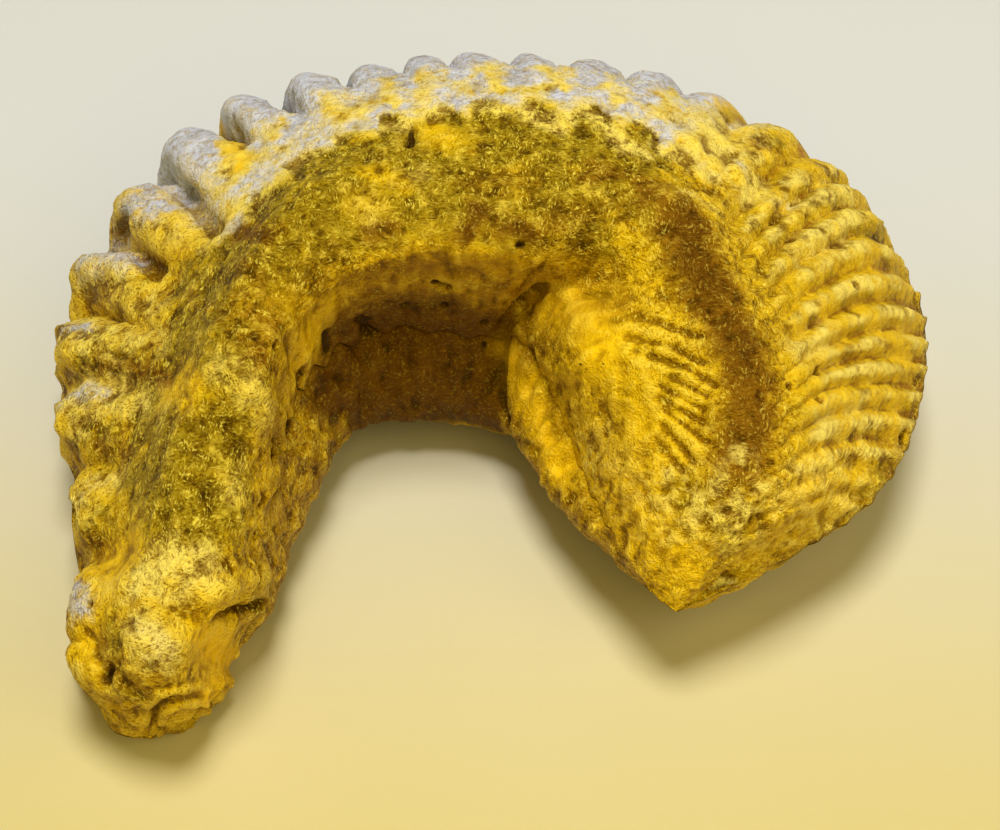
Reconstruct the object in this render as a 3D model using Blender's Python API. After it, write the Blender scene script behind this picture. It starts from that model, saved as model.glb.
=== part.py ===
"""Fossil zigzag oyster, both valves closed, lying on its lower valve.

The shell is a horseshoe: a blunt growing tip at the left front, a high bow
behind, and a broad lobe at the right that closes in a small raised beak.
The two valves meet along a zigzag join: wherever the upper valve has a rib
the join rises, and wherever the lower valve has one it dips, so the folds of
the two valves lock into each other all the way round the outside.

Each valve is one closed solid, a loft through the hand-set sections below,
with the stone that fills the shell counted in with it.

Frame: metres, +X along the horseshoe's width, +Z up, Z = 0 is the surface it
lies on, origin under the middle of the footprint.
"""
import math

import bpy
import numpy as np

# ------------------------------------------------------------------ dimensions
MM = 0.001
JOIN_GAP = 0.30            # clear gap between the two valves, mm
CENTRE = (-1.0, 4.77)      # footprint centre in the section table's frame, mm
COLUMNS_PER_RIB = 4        # loft columns for one rib and one valley
JOIN_ROWS = 3              # rows across the join, inner to outer edge

# Sections of the shell in mm, from the growing tip round the bow to the beak.
#   O, I      outer and inner edge of the join between the valves
#   P A K B Q the upper valve: outer rim, slope, crest, inner rim, inner wall
#   G         inner foot of the lower valve
TIP = (-35.3, -33.1, 2.6)
BEAK = (18, -24.5, 12)
SECTIONS = [
    ("tip nose",    dict(O=(-40.5, -31.1, 2.4),     P=(-39, -33, 8),      A=(-37, -35, 13),    K=(-34, -35, 15),
                         B=(-32, -35, 14),    Q=(-31, -34, 11),     I=(-28.3, -29.2, 5.6),     G=(-28.5, -27.9, 2.4))),
    ("tip back",    dict(O=(-46.6, -25.9, 3.8),     P=(-43.4, -29.5, 11.5),     A=(-38, -32, 16),    K=(-34, -33, 19),
                         B=(-30.6, -32, 17),    Q=(-30.1, -31, 13),     I=(-28.7, -27.0, 7),     G=(-28.8, -25.0, 2.8))),
    ("tip neck",    dict(O=(-46, -21, 5.8),     P=(-43, -24, 13),     A=(-38, -27, 18),    K=(-33, -28, 21),
                         B=(-28, -28, 19),    Q=(-27, -26, 16),     I=(-26, -25, 12),    G=(-25, -21, 5))),
    ("arm low",     dict(O=(-47, -13, 8),     P=(-44, -16, 14),     A=(-38, -20, 19),    K=(-32, -23, 24),
                         B=(-27, -22, 22),    Q=(-25, -20, 18),     I=(-25, -19, 14),    G=(-23, -13, 5))),
    ("arm middle",  dict(O=(-49, -2, 9),      P=(-45, -6, 15),      A=(-37, -11, 21),    K=(-31, -15, 27),
                         B=(-26, -14, 25),    Q=(-24, -13, 21),     I=(-23, -10, 16),    G=(-20, -4, 6))),
    ("arm high",    dict(O=(-51, 12, 10),     P=(-47, 7, 17),       A=(-35, -3, 25),     K=(-29, -7, 30),
                         B=(-24, -7, 30),     Q=(-23, -5, 25),      I=(-22, -2, 18),     G=(-18, 2, 6))),
    ("shoulder",    dict(O=(-48, 25, 12.5),   P=(-44, 21, 21),      A=(-31, 5, 29),      K=(-25, 2, 34),
                         B=(-20.6, 1.8, 31.8),      Q=(-19, 3, 28),       I=(-18.5, 5, 18),    G=(-15.5, 5, 6))),
    ("bow left",    dict(O=(-35, 37, 15.5),   P=(-33, 34.5, 25),    A=(-23, 17, 33),     K=(-18.5, 11, 36),
                         B=(-14.3, 6.3, 33.0),      Q=(-13, 6, 30),       I=(-12.5, 9, 18),    G=(-10, 6, 6))),
    ("bow middle",  dict(O=(-16, 43, 16.5),   P=(-15, 39.6, 28.2),    A=(-11, 23, 35),     K=(-8, 14, 36),
                         B=(-5.3, 7.3, 33.8),       Q=(-5, 7, 30),        I=(-5.5, 8.3, 18),   G=(-4, 6, 6))),
    ("bow right",   dict(O=(-2, 45, 16.5),    P=(-2, 41.5, 28.7),       A=(-0.5, 24, 36),    K=(1, 14, 36),
                         B=(1.7, 7.3, 33.4),      Q=(1, 7, 28),         I=(-2, 8.2, 17.5),   G=(-1.8, 5.3, 6))),
    ("crease",      dict(O=(12, 44, 16.5),    P=(11, 40.5, 28.7),       A=(10, 24, 35.5),    K=(9.5, 14, 36),
                         B=(9.3, 8.3, 32.2),  Q=(5, 9.5, 24.5),     I=(0.3, 8, 17.5),    G=(-0.2, 4.6, 6))),
    ("lobe start",  dict(O=(25, 41, 16.5),    P=(23, 37.5, 27.5),       A=(18, 20, 34),      K=(17, 11, 35),
                         B=(16, 5.5, 32),     Q=(9.5, 5, 26.5),     I=(2.6, 7, 18),      G=(0.8, 3.2, 7))),
    ("lobe hump",   dict(O=(35.5, 36, 16),    P=(32.5, 32.5, 26),   A=(24, 14, 32),      K=(21.5, 6, 34),
                         B=(18, 0, 31),       Q=(10.5, -2, 27.5),   I=(4.6, 3.5, 17),    G=(1.8, 1, 7.5))),
    ("lobe upper",  dict(O=(44.5, 27, 15),    P=(40, 23.5, 23.5),   A=(28, 6, 30),       K=(24.5, -2, 31.5),
                         B=(21, -6, 30),      Q=(13, -7, 26),       I=(6.5, -1, 15.5),   G=(3.4, -1.8, 8))),
    ("lobe middle", dict(O=(49, 15, 14),      P=(43.3, 10.5, 20),   A=(30.5, -3.5, 27.5), K=(26, -9.5, 28.5),
                         B=(22, -11.5, 27.5), Q=(14.5, -11.5, 23.5), I=(8.7, -8, 14.2),  G=(6, -7, 8))),
    ("lobe lower",  dict(O=(46.5, 3, 13.5),   P=(41, -1, 18.5),     A=(30.5, -11, 25),   K=(25.8, -15.5, 25.5),
                         B=(21, -16.5, 24),   Q=(15.7, -16.5, 21),  I=(11, -14.5, 14),   G=(9.5, -12.5, 8))),
    ("beak flank",  dict(O=(39, -10.5, 13),   P=(35, -13, 17),      A=(29, -18, 20),     K=(24, -20, 20.5),
                         B=(20, -21, 20),     Q=(16.2, -21, 17.3),  I=(14, -21, 13),     G=(14, -17.5, 8))),
    ("beak root",   dict(O=(30, -18, 12.5),   P=(28, -19, 14.5),    A=(24, -21, 16.5),   K=(21, -22.5, 17),
                         B=(19, -23, 16),     Q=(17, -23, 14.3),    I=(15.8, -23, 12.5), G=(16, -20, 9))),
]

# Crests of the outer ribs, mm of run along the shell from the tip.
OUTER_RIBS = [0, 4.5, 10.6, 18.6, 29.2, 38.6, 46.6, 53.0, 59.4, 66.2, 71.4, 76.3, 81.0, 85.3, 89.2, 93.9,
              99.1, 104.3, 109.2, 115.6, 120.5, 123, 125.7, 128.3, 131, 133.7, 136.3, 138.7,
              141.2, 143.7, 146.5, 149, 151.3, 153.4, 155.4, 157.4, 160, 163.6]
# Crests of the weaker folds on the inner side.
INNER_RIBS = [0, 7, 12, 17, 22, 27, 32, 37, 42, 47, 52, 58, 64.5, 71.5, 80, 90, 102, 110.5, 117.5,
              123.5, 128.5, 133.5, 138.5, 143, 148, 152, 156, 160, 163.6]

# Along the run: (run, value) pairs, straight between them, mm.
RIB_HEIGHT = [(0, 0), (8, 0.5), (20, 0.9), (31, 1.1), (45, 1.2), (62, 1.7), (68.8, 2.4), (76, 2.2), (84, 1.5),
              (108, 1.5), (116, 0.9), (124, 0.7), (136, 0.55), (148, 0.3), (157, 0.15), (163.6, 0)]
JOIN_RISE_OUT = [(0, 0), (9, 0.7), (20, 1.8), (31, 2.5), (60, 2.8), (68, 3.2), (108, 3.0),
                 (118, 1.3), (128, 0.8), (140, 0.7), (150, 0.5), (163.6, 0)]
JOIN_RISE_IN = [(0, 0), (12, 0.2), (25, 0.8), (45, 1.1), (62, 1.0), (72, 0.5), (84, 0.5), (100, 0.3), (110, 0.6), (140, 0.7),
                (152, 0.4), (163.6, 0)]
RIB_REACH = [(0, 0.40), (20, 0.42), (45, 0.42), (58, 0.40), (66, 0.34), (108, 0.33), (118, 0.5),
             (150, 0.6), (163.6, 0.5)]          # share of the valve's width the ribs run over
RIB_SWEEP = [(0, 0), (104, 0), (120, 1.5), (138, 1.5), (152, 0.5), (163.6, 0)]   # how far the ribs lean
# Lowest line of the lower valve, mm; where it runs below zero the valve is worn to a flat
# pad. Three such pads, under the tip, the bow and the lobe, are what it lies on.
KEEL = [(0, 0.5), (6, -1.2), (12, -2.6), (21, -2.0), (31, 1.0), (50, 2.6), (72, 1.0), (83, -2.1),
        (99, -2.2), (110, 0.6), (121, -2.0), (137, -2.2), (149, 2.0), (163.6, 9)]


# ------------------------------------------------------------------ loft maths
def spline_weights(knots, where):
    """Weights of the natural cubic spline through the knots, one row per point."""
    x = np.asarray(knots, float)
    n, h = len(x), np.diff(np.asarray(knots, float))
    left, right = np.eye(n), np.zeros((n, n))
    for i in range(1, n - 1):
        left[i, i - 1:i + 2] = h[i - 1], 2 * (h[i - 1] + h[i]), h[i]
        right[i, i - 1:i + 2] = 6 / h[i - 1], -6 / h[i - 1] - 6 / h[i], 6 / h[i]
    bend = np.linalg.solve(left, right)
    q = np.clip(np.asarray(where, float), x[0], x[-1])
    k = np.clip(np.searchsorted(x, q, side="right") - 1, 0, n - 2)
    span = h[k]
    a, b = (x[k + 1] - q) / span, (q - x[k]) / span
    rows = np.arange(len(q))
    out = ((a ** 3 - a) * span ** 2 / 6)[:, None] * bend[k]
    out += ((b ** 3 - b) * span ** 2 / 6)[:, None] * bend[k + 1]
    out[rows, k] += a
    out[rows, k + 1] += b
    return out


def along(table, run):
    return np.interp(run, [p[0] for p in table], [p[1] for p in table])


def smooth(x, low, high):
    t = np.clip((x - low) / (high - low), 0, 1)
    return t * t * (3 - 2 * t)


def fold(phase):
    """Rounded zigzag: +1 on a rib of the upper valve, -1 on one of the lower."""
    return np.arcsin(0.93 * np.cos(2 * math.pi * phase)) / math.asin(0.93)


def rail(letter):
    rows = [TIP] + [section[letter] for _, section in SECTIONS] + [BEAK]
    return np.array(rows, float)


RAILS = {letter: rail(letter) for letter in "OPAKBQIG"}
CHORDS = np.mean([np.linalg.norm(np.diff(RAILS[c], axis=0), axis=1) for c in "OPAKBQI"], axis=0)
RUN = np.concatenate([[0.0], np.cumsum(CHORDS) - 1.40])
LENGTH = float(RUN[-1])


def upper_rails():
    return np.stack([RAILS[c] for c in "OPAKBQI"])


def lower_rails():
    """Outer join edge, flank, turn, keel, turn, inner foot, inner join edge."""
    o, g = RAILS["O"], RAILS["G"]
    keel = along(KEEL, RUN)
    rows = [o]
    tuck = smooth(RUN, 138, 152)       # the lower valve draws in under the beak
    for share, height in ((0.10 + 0.22 * tuck, (0.50 + 0.25 * tuck) * o[:, 2]), (0.30 + 0.18 * tuck, keel + 2.0),
                          (0.56 + 0.06 * tuck, keel), (0.84, keel + 2.4)):
        row = o + (g - o) * (share * np.ones(len(o)))[:, None]
        row[:, 2] = np.minimum(height, np.minimum(o[:, 2], g[:, 2]) - 0.4)
        row[0], row[-1] = TIP, BEAK
        rows.append(row)
    return np.stack(rows + [g, RAILS["I"]])


def cross_knots(rails):
    """Fixed places of the rails across the valve, 0 at the outer edge, 1 at the inner."""
    chords = np.linalg.norm(np.diff(rails, axis=0), axis=2).mean(axis=1)
    knots = np.concatenate([[0.0], np.cumsum(chords)])
    return knots / knots[-1]


def skin(rails, run, across):
    """Smooth surface through the rails: points and unit normals, (rows, columns, 3)."""
    knots = cross_knots(rails)

    def at(r, a):
        lines = np.einsum("cs,rsx->rcx", spline_weights(RUN, r), rails)
        return np.einsum("ar,rcx->acx", spline_weights(knots, a), lines)

    d = 0.35
    d_run = at(np.minimum(run + d, LENGTH), across) - at(np.maximum(run - d, 0), across)
    d_across = at(run, np.minimum(across + 0.01, 1)) - at(run, np.maximum(across - 0.01, 0))
    normal = np.cross(d_across, d_run)
    normal /= np.maximum(np.linalg.norm(normal, axis=2, keepdims=True), 1e-9)
    return at(run, across), normal


def join_edge(run, phase_out, phase_in):
    """How far the join is lifted at its outer and its inner edge."""
    return along(JOIN_RISE_OUT, run) * fold(phase_out), along(JOIN_RISE_IN, run) * fold(phase_in)


def valve_points(rails, side, run):
    """One valve as rings of points; side is +1 for the upper valve, -1 for the lower."""
    phase_out = np.interp(run, OUTER_RIBS, range(len(OUTER_RIBS)))
    phase_in = np.interp(run, INNER_RIBS, range(len(INNER_RIBS)))
    rise_out, rise_in = join_edge(run, phase_out, phase_in)
    knots = cross_knots(rails)
    across = np.sort(np.concatenate([knots, (knots[:2] + knots[1:3]) / 2]))
    rows = len(across)
    base, normal = skin(rails, run, across)
    if side < 0:
        normal = -normal
    a = across[:, None]
    swept = run[None, :] + along(RIB_SWEEP, run)[None, :] * smooth(a, 0.08, 0.5)
    ribs = fold(np.interp(swept, OUTER_RIBS, range(len(OUTER_RIBS))))
    reach = along(RIB_REACH, run)[None, :]
    swell_out = smooth(a, 0, 0.16) * (1 - smooth(a, reach * 0.55, reach * 1.35))
    swell_in = smooth(1 - a, 0, 0.10) * (1 - smooth(1 - a, 0.10, 0.26))
    height = along(RIB_HEIGHT, run)[None, :]
    bulge = side * height * (swell_out * ribs + 0.2 * swell_in * fold(phase_in))
    lift = (1 - smooth(a, 0, 0.22)) * rise_out + (1 - smooth(1 - a, 0, 0.16)) * rise_in
    skin_points = base + normal * bulge[:, :, None]
    skin_points[:, :, 2] += lift
    if side < 0:
        skin_points[:, :, 2] = np.maximum(skin_points[:, :, 2], 0)

    outer, inner = skin_points[0], skin_points[-1]
    share = np.linspace(1, 0, JOIN_ROWS + 2)[1:-1, None, None]
    join = outer + (inner - outer) * share
    rings = np.concatenate([skin_points, join])          # once round the valve
    # the join's own slope gives the direction in which the two valves part
    run_step = np.gradient(rings, axis=1)
    side_step = (inner - outer)[None, :, :]
    part = np.cross(run_step, np.broadcast_to(side_step, run_step.shape))
    part /= np.maximum(np.linalg.norm(part, axis=2, keepdims=True), 1e-9)
    part *= np.sign(part[:, :, 2:3] + 1e-12)
    on_join = np.r_[0, rows - 1:rows + JOIN_ROWS]
    rings[on_join] += side * 0.5 * JOIN_GAP * part[on_join]
    return rings


# ------------------------------------------------------------------ building
def finish(name, colour, roughness):
    material = bpy.data.materials.new(name)
    material.use_nodes = True
    shader = material.node_tree.nodes["Principled BSDF"]
    shader.inputs["Base Color"].default_value = (*colour, 1)
    shader.inputs["Roughness"].default_value = roughness
    shader.inputs["Metallic"].default_value = 0.0
    return material


def valve(name, rings, side, material, collection):
    """Close the rings to one solid with a single point at the tip and at the beak."""
    around, columns = rings.shape[:2]
    inside = rings[:, 1:-1]
    shift = np.array([CENTRE[0], CENTRE[1], 0])
    ends = [np.array(TIP, float), np.array(BEAK, float)]
    for end in ends:
        end[2] += side * 0.5 * JOIN_GAP
    points = np.concatenate([inside.reshape(-1, 3), ends]) - shift
    count = columns - 2
    tip, beak = around * count, around * count + 1
    faces = []
    for i in range(around):
        j = (i + 1) % around
        on_join = i >= around - JOIN_ROWS - 1
        for k in range(count - 1):
            quad = (i * count + k, i * count + k + 1, j * count + k + 1, j * count + k)
            # both valves cut the twisted faces of the join along the same diagonal
            faces += [quad[:3], quad[2:] + quad[:1]] if on_join else [quad]
        faces.append((tip, i * count, j * count))
        faces.append((i * count + count - 1, beak, j * count + count - 1))
    if side > 0:
        faces = [face[::-1] for face in faces]
    mesh = bpy.data.meshes.new(name)
    mesh.from_pydata((points * MM).tolist(), [], faces)
    mesh.validate()
    mesh.shade_smooth()
    mesh.set_sharp_from_angle(angle=math.radians(40))
    mesh.materials.append(material)
    obj = bpy.data.objects.new(name, mesh)
    collection.objects.link(obj)
    return obj


def main():
    for obj in list(bpy.data.objects):
        bpy.data.objects.remove(obj, do_unlink=True)
    collection = bpy.data.collections.new("Fossil zigzag oyster")
    bpy.context.scene.collection.children.link(collection)

    phases = np.arange(0, len(OUTER_RIBS) - 1 + 1e-6, 1 / COLUMNS_PER_RIB)
    run = np.interp(phases, range(len(OUTER_RIBS)), OUTER_RIBS)
    upper = valve_points(upper_rails(), 1, run)
    lower = valve_points(lower_rails(), -1, run)
    valve("upper_valve", upper, 1, finish("ochre shell", (0.46, 0.31, 0.08), 0.7), collection)
    valve("lower_valve", lower, -1, finish("brown shell", (0.33, 0.20, 0.06), 0.75), collection)
    for obj in collection.objects:
        box = np.array([v.co for v in obj.data.vertices]) / MM
        print(obj.name, "box", box.min(0).round(2), box.max(0).round(2), "faces", len(obj.data.polygons))


main()
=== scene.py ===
"""Looks of the fossil zigzag oyster: fine surface, pigments, floor, light and camera.

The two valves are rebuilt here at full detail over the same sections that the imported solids
were lofted through, and each one stands for its node. All lengths in the tables are mm.
"""
import math

import bpy
import numpy as np
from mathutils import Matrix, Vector


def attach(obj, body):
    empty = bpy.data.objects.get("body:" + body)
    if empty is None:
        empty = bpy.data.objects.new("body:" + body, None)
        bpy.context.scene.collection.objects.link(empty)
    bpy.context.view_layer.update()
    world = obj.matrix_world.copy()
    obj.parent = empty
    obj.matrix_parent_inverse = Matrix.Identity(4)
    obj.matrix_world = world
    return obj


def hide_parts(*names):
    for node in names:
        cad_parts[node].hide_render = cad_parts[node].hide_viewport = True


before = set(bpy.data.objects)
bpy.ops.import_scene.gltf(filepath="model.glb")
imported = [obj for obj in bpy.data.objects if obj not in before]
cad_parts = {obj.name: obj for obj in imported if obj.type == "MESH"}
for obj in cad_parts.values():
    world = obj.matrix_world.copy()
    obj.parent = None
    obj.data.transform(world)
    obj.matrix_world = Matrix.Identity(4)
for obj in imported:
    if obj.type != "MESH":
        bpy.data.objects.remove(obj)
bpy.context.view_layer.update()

# ---------------------------------------------------------------- shape tables
MM = 0.001
JOIN_GAP = 0.16
CENTRE = (-1.0, 4.77)
TIP = (-35.3, -33.1, 2.3)
BEAK = (18, -24.5, 12)
SECTIONS = [
    ("tip nose",    dict(O=(-40.5, -31.1, 2.4),     P=(-39, -33, 8),      A=(-37, -35, 13),    K=(-34, -35, 15),
                         B=(-32, -35, 14),    Q=(-31, -34, 11),     I=(-28.3, -29.2, 5.6),     G=(-28.5, -27.9, 2.4))),
    ("tip back",    dict(O=(-46.6, -25.9, 3.8),     P=(-43.4, -29.5, 11.5),     A=(-38, -32, 16),    K=(-34, -33, 19),
                         B=(-30.6, -32, 17),    Q=(-30.1, -31, 13),     I=(-28.7, -27.0, 7),     G=(-28.8, -25.0, 2.8))),
    ("tip neck",    dict(O=(-46, -21, 5.8),     P=(-43, -24, 13),     A=(-38, -27, 18),    K=(-33, -28, 21),
                         B=(-28, -28, 19),    Q=(-27, -26, 16),     I=(-26, -25, 12),    G=(-25, -21, 5))),
    ("arm low",     dict(O=(-47, -13, 8),     P=(-44, -16, 14),     A=(-38, -20, 19),    K=(-32, -23, 24),
                         B=(-27, -22, 22),    Q=(-25, -20, 18),     I=(-25, -19, 14),    G=(-23, -13, 5))),
    ("arm middle",  dict(O=(-49, -2, 9),      P=(-45, -6, 15),      A=(-37, -11, 21),    K=(-31, -15, 27),
                         B=(-26, -14, 25),    Q=(-24, -13, 21),     I=(-23, -10, 16),    G=(-20, -4, 6))),
    ("arm high",    dict(O=(-51, 12, 10),     P=(-47, 7, 17),       A=(-35, -3, 25),     K=(-29, -7, 30),
                         B=(-24, -7, 30),     Q=(-23, -5, 25),      I=(-22, -2, 18),     G=(-18, 2, 6))),
    ("shoulder",    dict(O=(-48, 25, 12.5),   P=(-44, 21, 21),      A=(-31, 5, 29),      K=(-25, 2, 34),
                         B=(-20.6, 1.8, 31.8),      Q=(-19, 3, 28),       I=(-18.5, 5, 18),    G=(-15.5, 5, 6))),
    ("bow left",    dict(O=(-35, 37, 15.5),   P=(-33, 34.5, 25),    A=(-23, 17, 33),     K=(-18.5, 11, 36),
                         B=(-14.3, 6.3, 33.0),      Q=(-13, 6, 30),       I=(-12.5, 9, 18),    G=(-10, 6, 6))),
    ("bow middle",  dict(O=(-16, 43, 16.5),   P=(-15, 39.6, 28.2),    A=(-11, 23, 35),     K=(-8, 14, 36),
                         B=(-5.3, 7.3, 33.8),       Q=(-5, 7, 30),        I=(-5.5, 8.3, 18),   G=(-4, 6, 6))),
    ("bow right",   dict(O=(-2, 45, 16.5),    P=(-2, 41.5, 28.7),       A=(-0.5, 24, 36),    K=(1, 14, 36),
                         B=(1.7, 7.3, 33.4),      Q=(1, 7, 28),         I=(-2, 8.2, 17.5),   G=(-1.8, 5.3, 6))),
    ("crease",      dict(O=(12, 44, 16.5),    P=(11, 40.5, 28.7),       A=(10, 24, 35.5),    K=(9.5, 14, 36),
                         B=(9.3, 8.3, 32.2),  Q=(5, 9.5, 24.5),     I=(0.3, 8, 17.5),    G=(-0.2, 4.6, 6))),
    ("lobe start",  dict(O=(25, 41, 16.5),    P=(23, 37.5, 27.5),       A=(18, 20, 34),      K=(17, 11, 35),
                         B=(16, 5.5, 32),     Q=(9.5, 5, 26.5),     I=(2.6, 7, 18),      G=(0.8, 3.2, 7))),
    ("lobe hump",   dict(O=(35.5, 36, 16),    P=(32.5, 32.5, 26),   A=(24, 14, 32),      K=(21.5, 6, 34),
                         B=(18, 0, 31),       Q=(10.5, -2, 27.5),   I=(4.6, 3.5, 17),    G=(1.8, 1, 7.5))),
    ("lobe upper",  dict(O=(44.5, 27, 15),    P=(40, 23.5, 23.5),   A=(28, 6, 30),       K=(24.5, -2, 31.5),
                         B=(21, -6, 30),      Q=(13, -7, 26),       I=(6.5, -1, 15.5),   G=(3.4, -1.8, 8))),
    ("lobe middle", dict(O=(49, 15, 14),      P=(43.3, 10.5, 20),   A=(30.5, -3.5, 27.5), K=(26, -9.5, 28.5),
                         B=(22, -11.5, 27.5), Q=(14.5, -11.5, 23.5), I=(8.7, -8, 14.2),  G=(6, -7, 8))),
    ("lobe lower",  dict(O=(46.5, 3, 13.5),   P=(41, -1, 18.5),     A=(30.5, -11, 25),   K=(25.8, -15.5, 25.5),
                         B=(21, -16.5, 24),   Q=(15.7, -16.5, 21),  I=(11, -14.5, 14),   G=(9.5, -12.5, 8))),
    ("beak flank",  dict(O=(39, -10.5, 13),   P=(35, -13, 17),      A=(29, -18, 20),     K=(24, -20, 20.5),
                         B=(20, -21, 20),     Q=(16.2, -21, 17.3),  I=(14, -21, 13),     G=(14, -17.5, 8))),
    ("beak root",   dict(O=(30, -18, 12.5),   P=(28, -19, 14.5),    A=(24, -21, 16.5),   K=(21, -22.5, 17),
                         B=(19, -23, 16),     Q=(17, -23, 14.3),    I=(15.8, -23, 12.5), G=(16, -20, 9))),
]
OUTER_RIBS = [0, 4.5, 10.6, 18.6, 29.2, 38.6, 46.6, 53.0, 59.4, 66.2, 71.4, 76.3, 81.0, 85.3, 89.2, 93.9,
              99.1, 104.3, 109.2, 115.6, 120.5, 123, 125.7, 128.3, 131, 133.7, 136.3, 138.7,
              141.2, 143.7, 146.5, 149, 151.3, 153.4, 155.4, 157.4, 160, 163.6]
INNER_RIBS = [0, 7, 12, 17, 22, 27, 32, 37, 42, 47, 52, 58, 64.5, 71.5, 80, 90, 102, 110.5, 117.5,
              123.5, 128.5, 133.5, 138.5, 143, 148, 152, 156, 160, 163.6]
CREST = [(0, 0), (8, 0.5), (20, 0.9), (31, 1.0), (45, 1.1), (65, 1.4), (76, 1.6), (85, 1.0), (94, 1.0),
         (101, 1.4), (109, 1.1), (116, 0.75), (124, 0.7), (136, 0.6), (142, 0.45), (148, 0.2), (157, 0.08), (163.6, 0)]
VALLEY = [(0, 0), (8, 0.6), (20, 1.0), (31, 1.1), (45, 1.2), (62.6, 2.8), (68.8, 6.0), (73.9, 6.2), (78.8, 3.8), (83, 2.4),
          (87.2, 2.1), (91.5, 2.4), (96.5, 4.2), (101.7, 3.0), (106.7, 1.5), (112.4, 0.6), (116, 0.6),
          (124, 0.5), (136, 0.45), (142, 0.35), (148, 0.15), (157, 0.08), (163.6, 0)]
LEAN = [(0, 0), (40, 0.05), (55, 0.2), (62, 0.35), (70, 0.45), (78, 0.4), (90, 0.2), (110, 0.15), (118, 0), (163.6, 0)]
SINK = [(0, 0), (45, 0.2), (52, 2.8), (57, 1.0), (62, 0.2), (70, 0), (77, 0), (81, 0.4), (85, 0.2), (88, 0.6), (93, 1.0),
        (100, 1.0), (104, 0.7), (110, 1.0), (118, 0.6), (124, 0), (163.6, 0)]
RIM_IN = [(0, 0), (3, 0), (6, -1.0), (8.5, -0.2), (11, 1.0), (14, 2.1), (19, 2.7), (24, 1.4), (30, 0.7), (45, 0.5),
          (60, 0.3), (120, 0.1), (128, 0.7), (135, 0.7), (140, 0.1), (146, -0.6), (151, -0.6), (155, 0), (163.6, 0)]
JOIN_RISE_OUT = [(0, 0), (9, 0.7), (20, 1.8), (31, 2.5), (60, 2.8), (68, 3.2), (108, 3.0),
                 (118, 1.3), (128, 0.8), (140, 0.7), (150, 0.5), (163.6, 0)]
JOIN_RISE_IN = [(0, 0), (12, 0.1), (25, 0.8), (45, 1.1), (62, 1.0), (72, 0.5), (84, 0.45), (100, 0.3), (110, 0.6), (140, 0.7),
                (152, 0.4), (163.6, 0)]
RIB_REACH = [(0, 0.40), (20, 0.38), (45, 0.36), (58, 0.37), (66, 0.32), (75, 0.31), (108, 0.31), (118, 0.5),
             (150, 0.6), (163.6, 0.5)]
RIB_SWEEP = [(0, 0), (104, 0), (120, 1.5), (138, 1.5), (152, 0.5), (163.6, 0)]
SCALLOP = [(0, 0), (8, 0.2), (16, 0.3), (22, 0.15), (45, 0.2), (60, 0.5), (75, 0.4), (108, 0.4), (118, 0.12), (150, 0.12), (163.6, 0)]
KEEL = [(0, 0.5), (6, -1.2), (12, -2.6), (21, -2.0), (31, 1.0), (50, 2.6), (72, 1.0), (83, -2.1),
        (99, -2.2), (110, 0.6), (121, -2.0), (137, -2.2), (149, 2.0), (163.6, 9)]


# ---------------------------------------------------------------- small maths
def spline_weights(knots, where):
    x = np.asarray(knots, float)
    n, h = len(x), np.diff(np.asarray(knots, float))
    left, right = np.eye(n), np.zeros((n, n))
    for i in range(1, n - 1):
        left[i, i - 1:i + 2] = h[i - 1], 2 * (h[i - 1] + h[i]), h[i]
        right[i, i - 1:i + 2] = 6 / h[i - 1], -6 / h[i - 1] - 6 / h[i], 6 / h[i]
    bend = np.linalg.solve(left, right)
    q = np.clip(np.asarray(where, float), x[0], x[-1])
    k = np.clip(np.searchsorted(x, q, side="right") - 1, 0, n - 2)
    span = h[k]
    a, b = (x[k + 1] - q) / span, (q - x[k]) / span
    rows = np.arange(len(q))
    out = ((a ** 3 - a) * span ** 2 / 6)[:, None] * bend[k]
    out += ((b ** 3 - b) * span ** 2 / 6)[:, None] * bend[k + 1]
    out[rows, k] += a
    out[rows, k + 1] += b
    return out


def along(table, run):
    return np.interp(run, [p[0] for p in table], [p[1] for p in table])


def smooth(x, low, high):
    t = np.clip((x - low) / (high - low), 0, 1)
    return t * t * (3 - 2 * t)


def mix(a, b, t):
    return a + (b - a) * t


def fold(phase):
    return np.arcsin(0.84 * np.cos(2 * math.pi * phase)) / math.asin(0.84)


def lattice(ix, iy, iz, seed):
    """Repeatable random bits for whole-number lattice points."""
    h = (ix.astype(np.uint32) * np.uint32(374761393) + iy.astype(np.uint32) * np.uint32(668265263)
         + iz.astype(np.uint32) * np.uint32(2246822519) + np.uint32((seed * 3266489917) & 0xFFFFFFFF))
    h = (h ^ (h >> np.uint32(15))) * np.uint32(2246822519)
    h = (h ^ (h >> np.uint32(13))) * np.uint32(3266489917)
    return h ^ (h >> np.uint32(16))


def noise(p, size, seed=0):
    """Gradient noise, about -1 to 1, with features about size mm across."""
    q = np.asarray(p, float) / size + 1000.0
    base = np.floor(q)
    f = q - base
    base = base.astype(np.int64)
    w = f * f * f * (f * (f * 6 - 15) + 10)
    total = np.zeros(q.shape[:-1])
    for dx in (0, 1):
        for dy in (0, 1):
            for dz in (0, 1):
                h = lattice(base[..., 0] + dx, base[..., 1] + dy, base[..., 2] + dz, seed)
                gx = (h & np.uint32(1023)).astype(float) / 511.5 - 1
                gy = ((h >> np.uint32(10)) & np.uint32(1023)).astype(float) / 511.5 - 1
                gz = ((h >> np.uint32(20)) & np.uint32(1023)).astype(float) / 511.5 - 1
                dot = gx * (f[..., 0] - dx) + gy * (f[..., 1] - dy) + gz * (f[..., 2] - dz)
                weight = ((w[..., 0] if dx else 1 - w[..., 0]) * (w[..., 1] if dy else 1 - w[..., 1])
                          * (w[..., 2] if dz else 1 - w[..., 2]))
                total += weight * dot
    return total * 1.35


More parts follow.
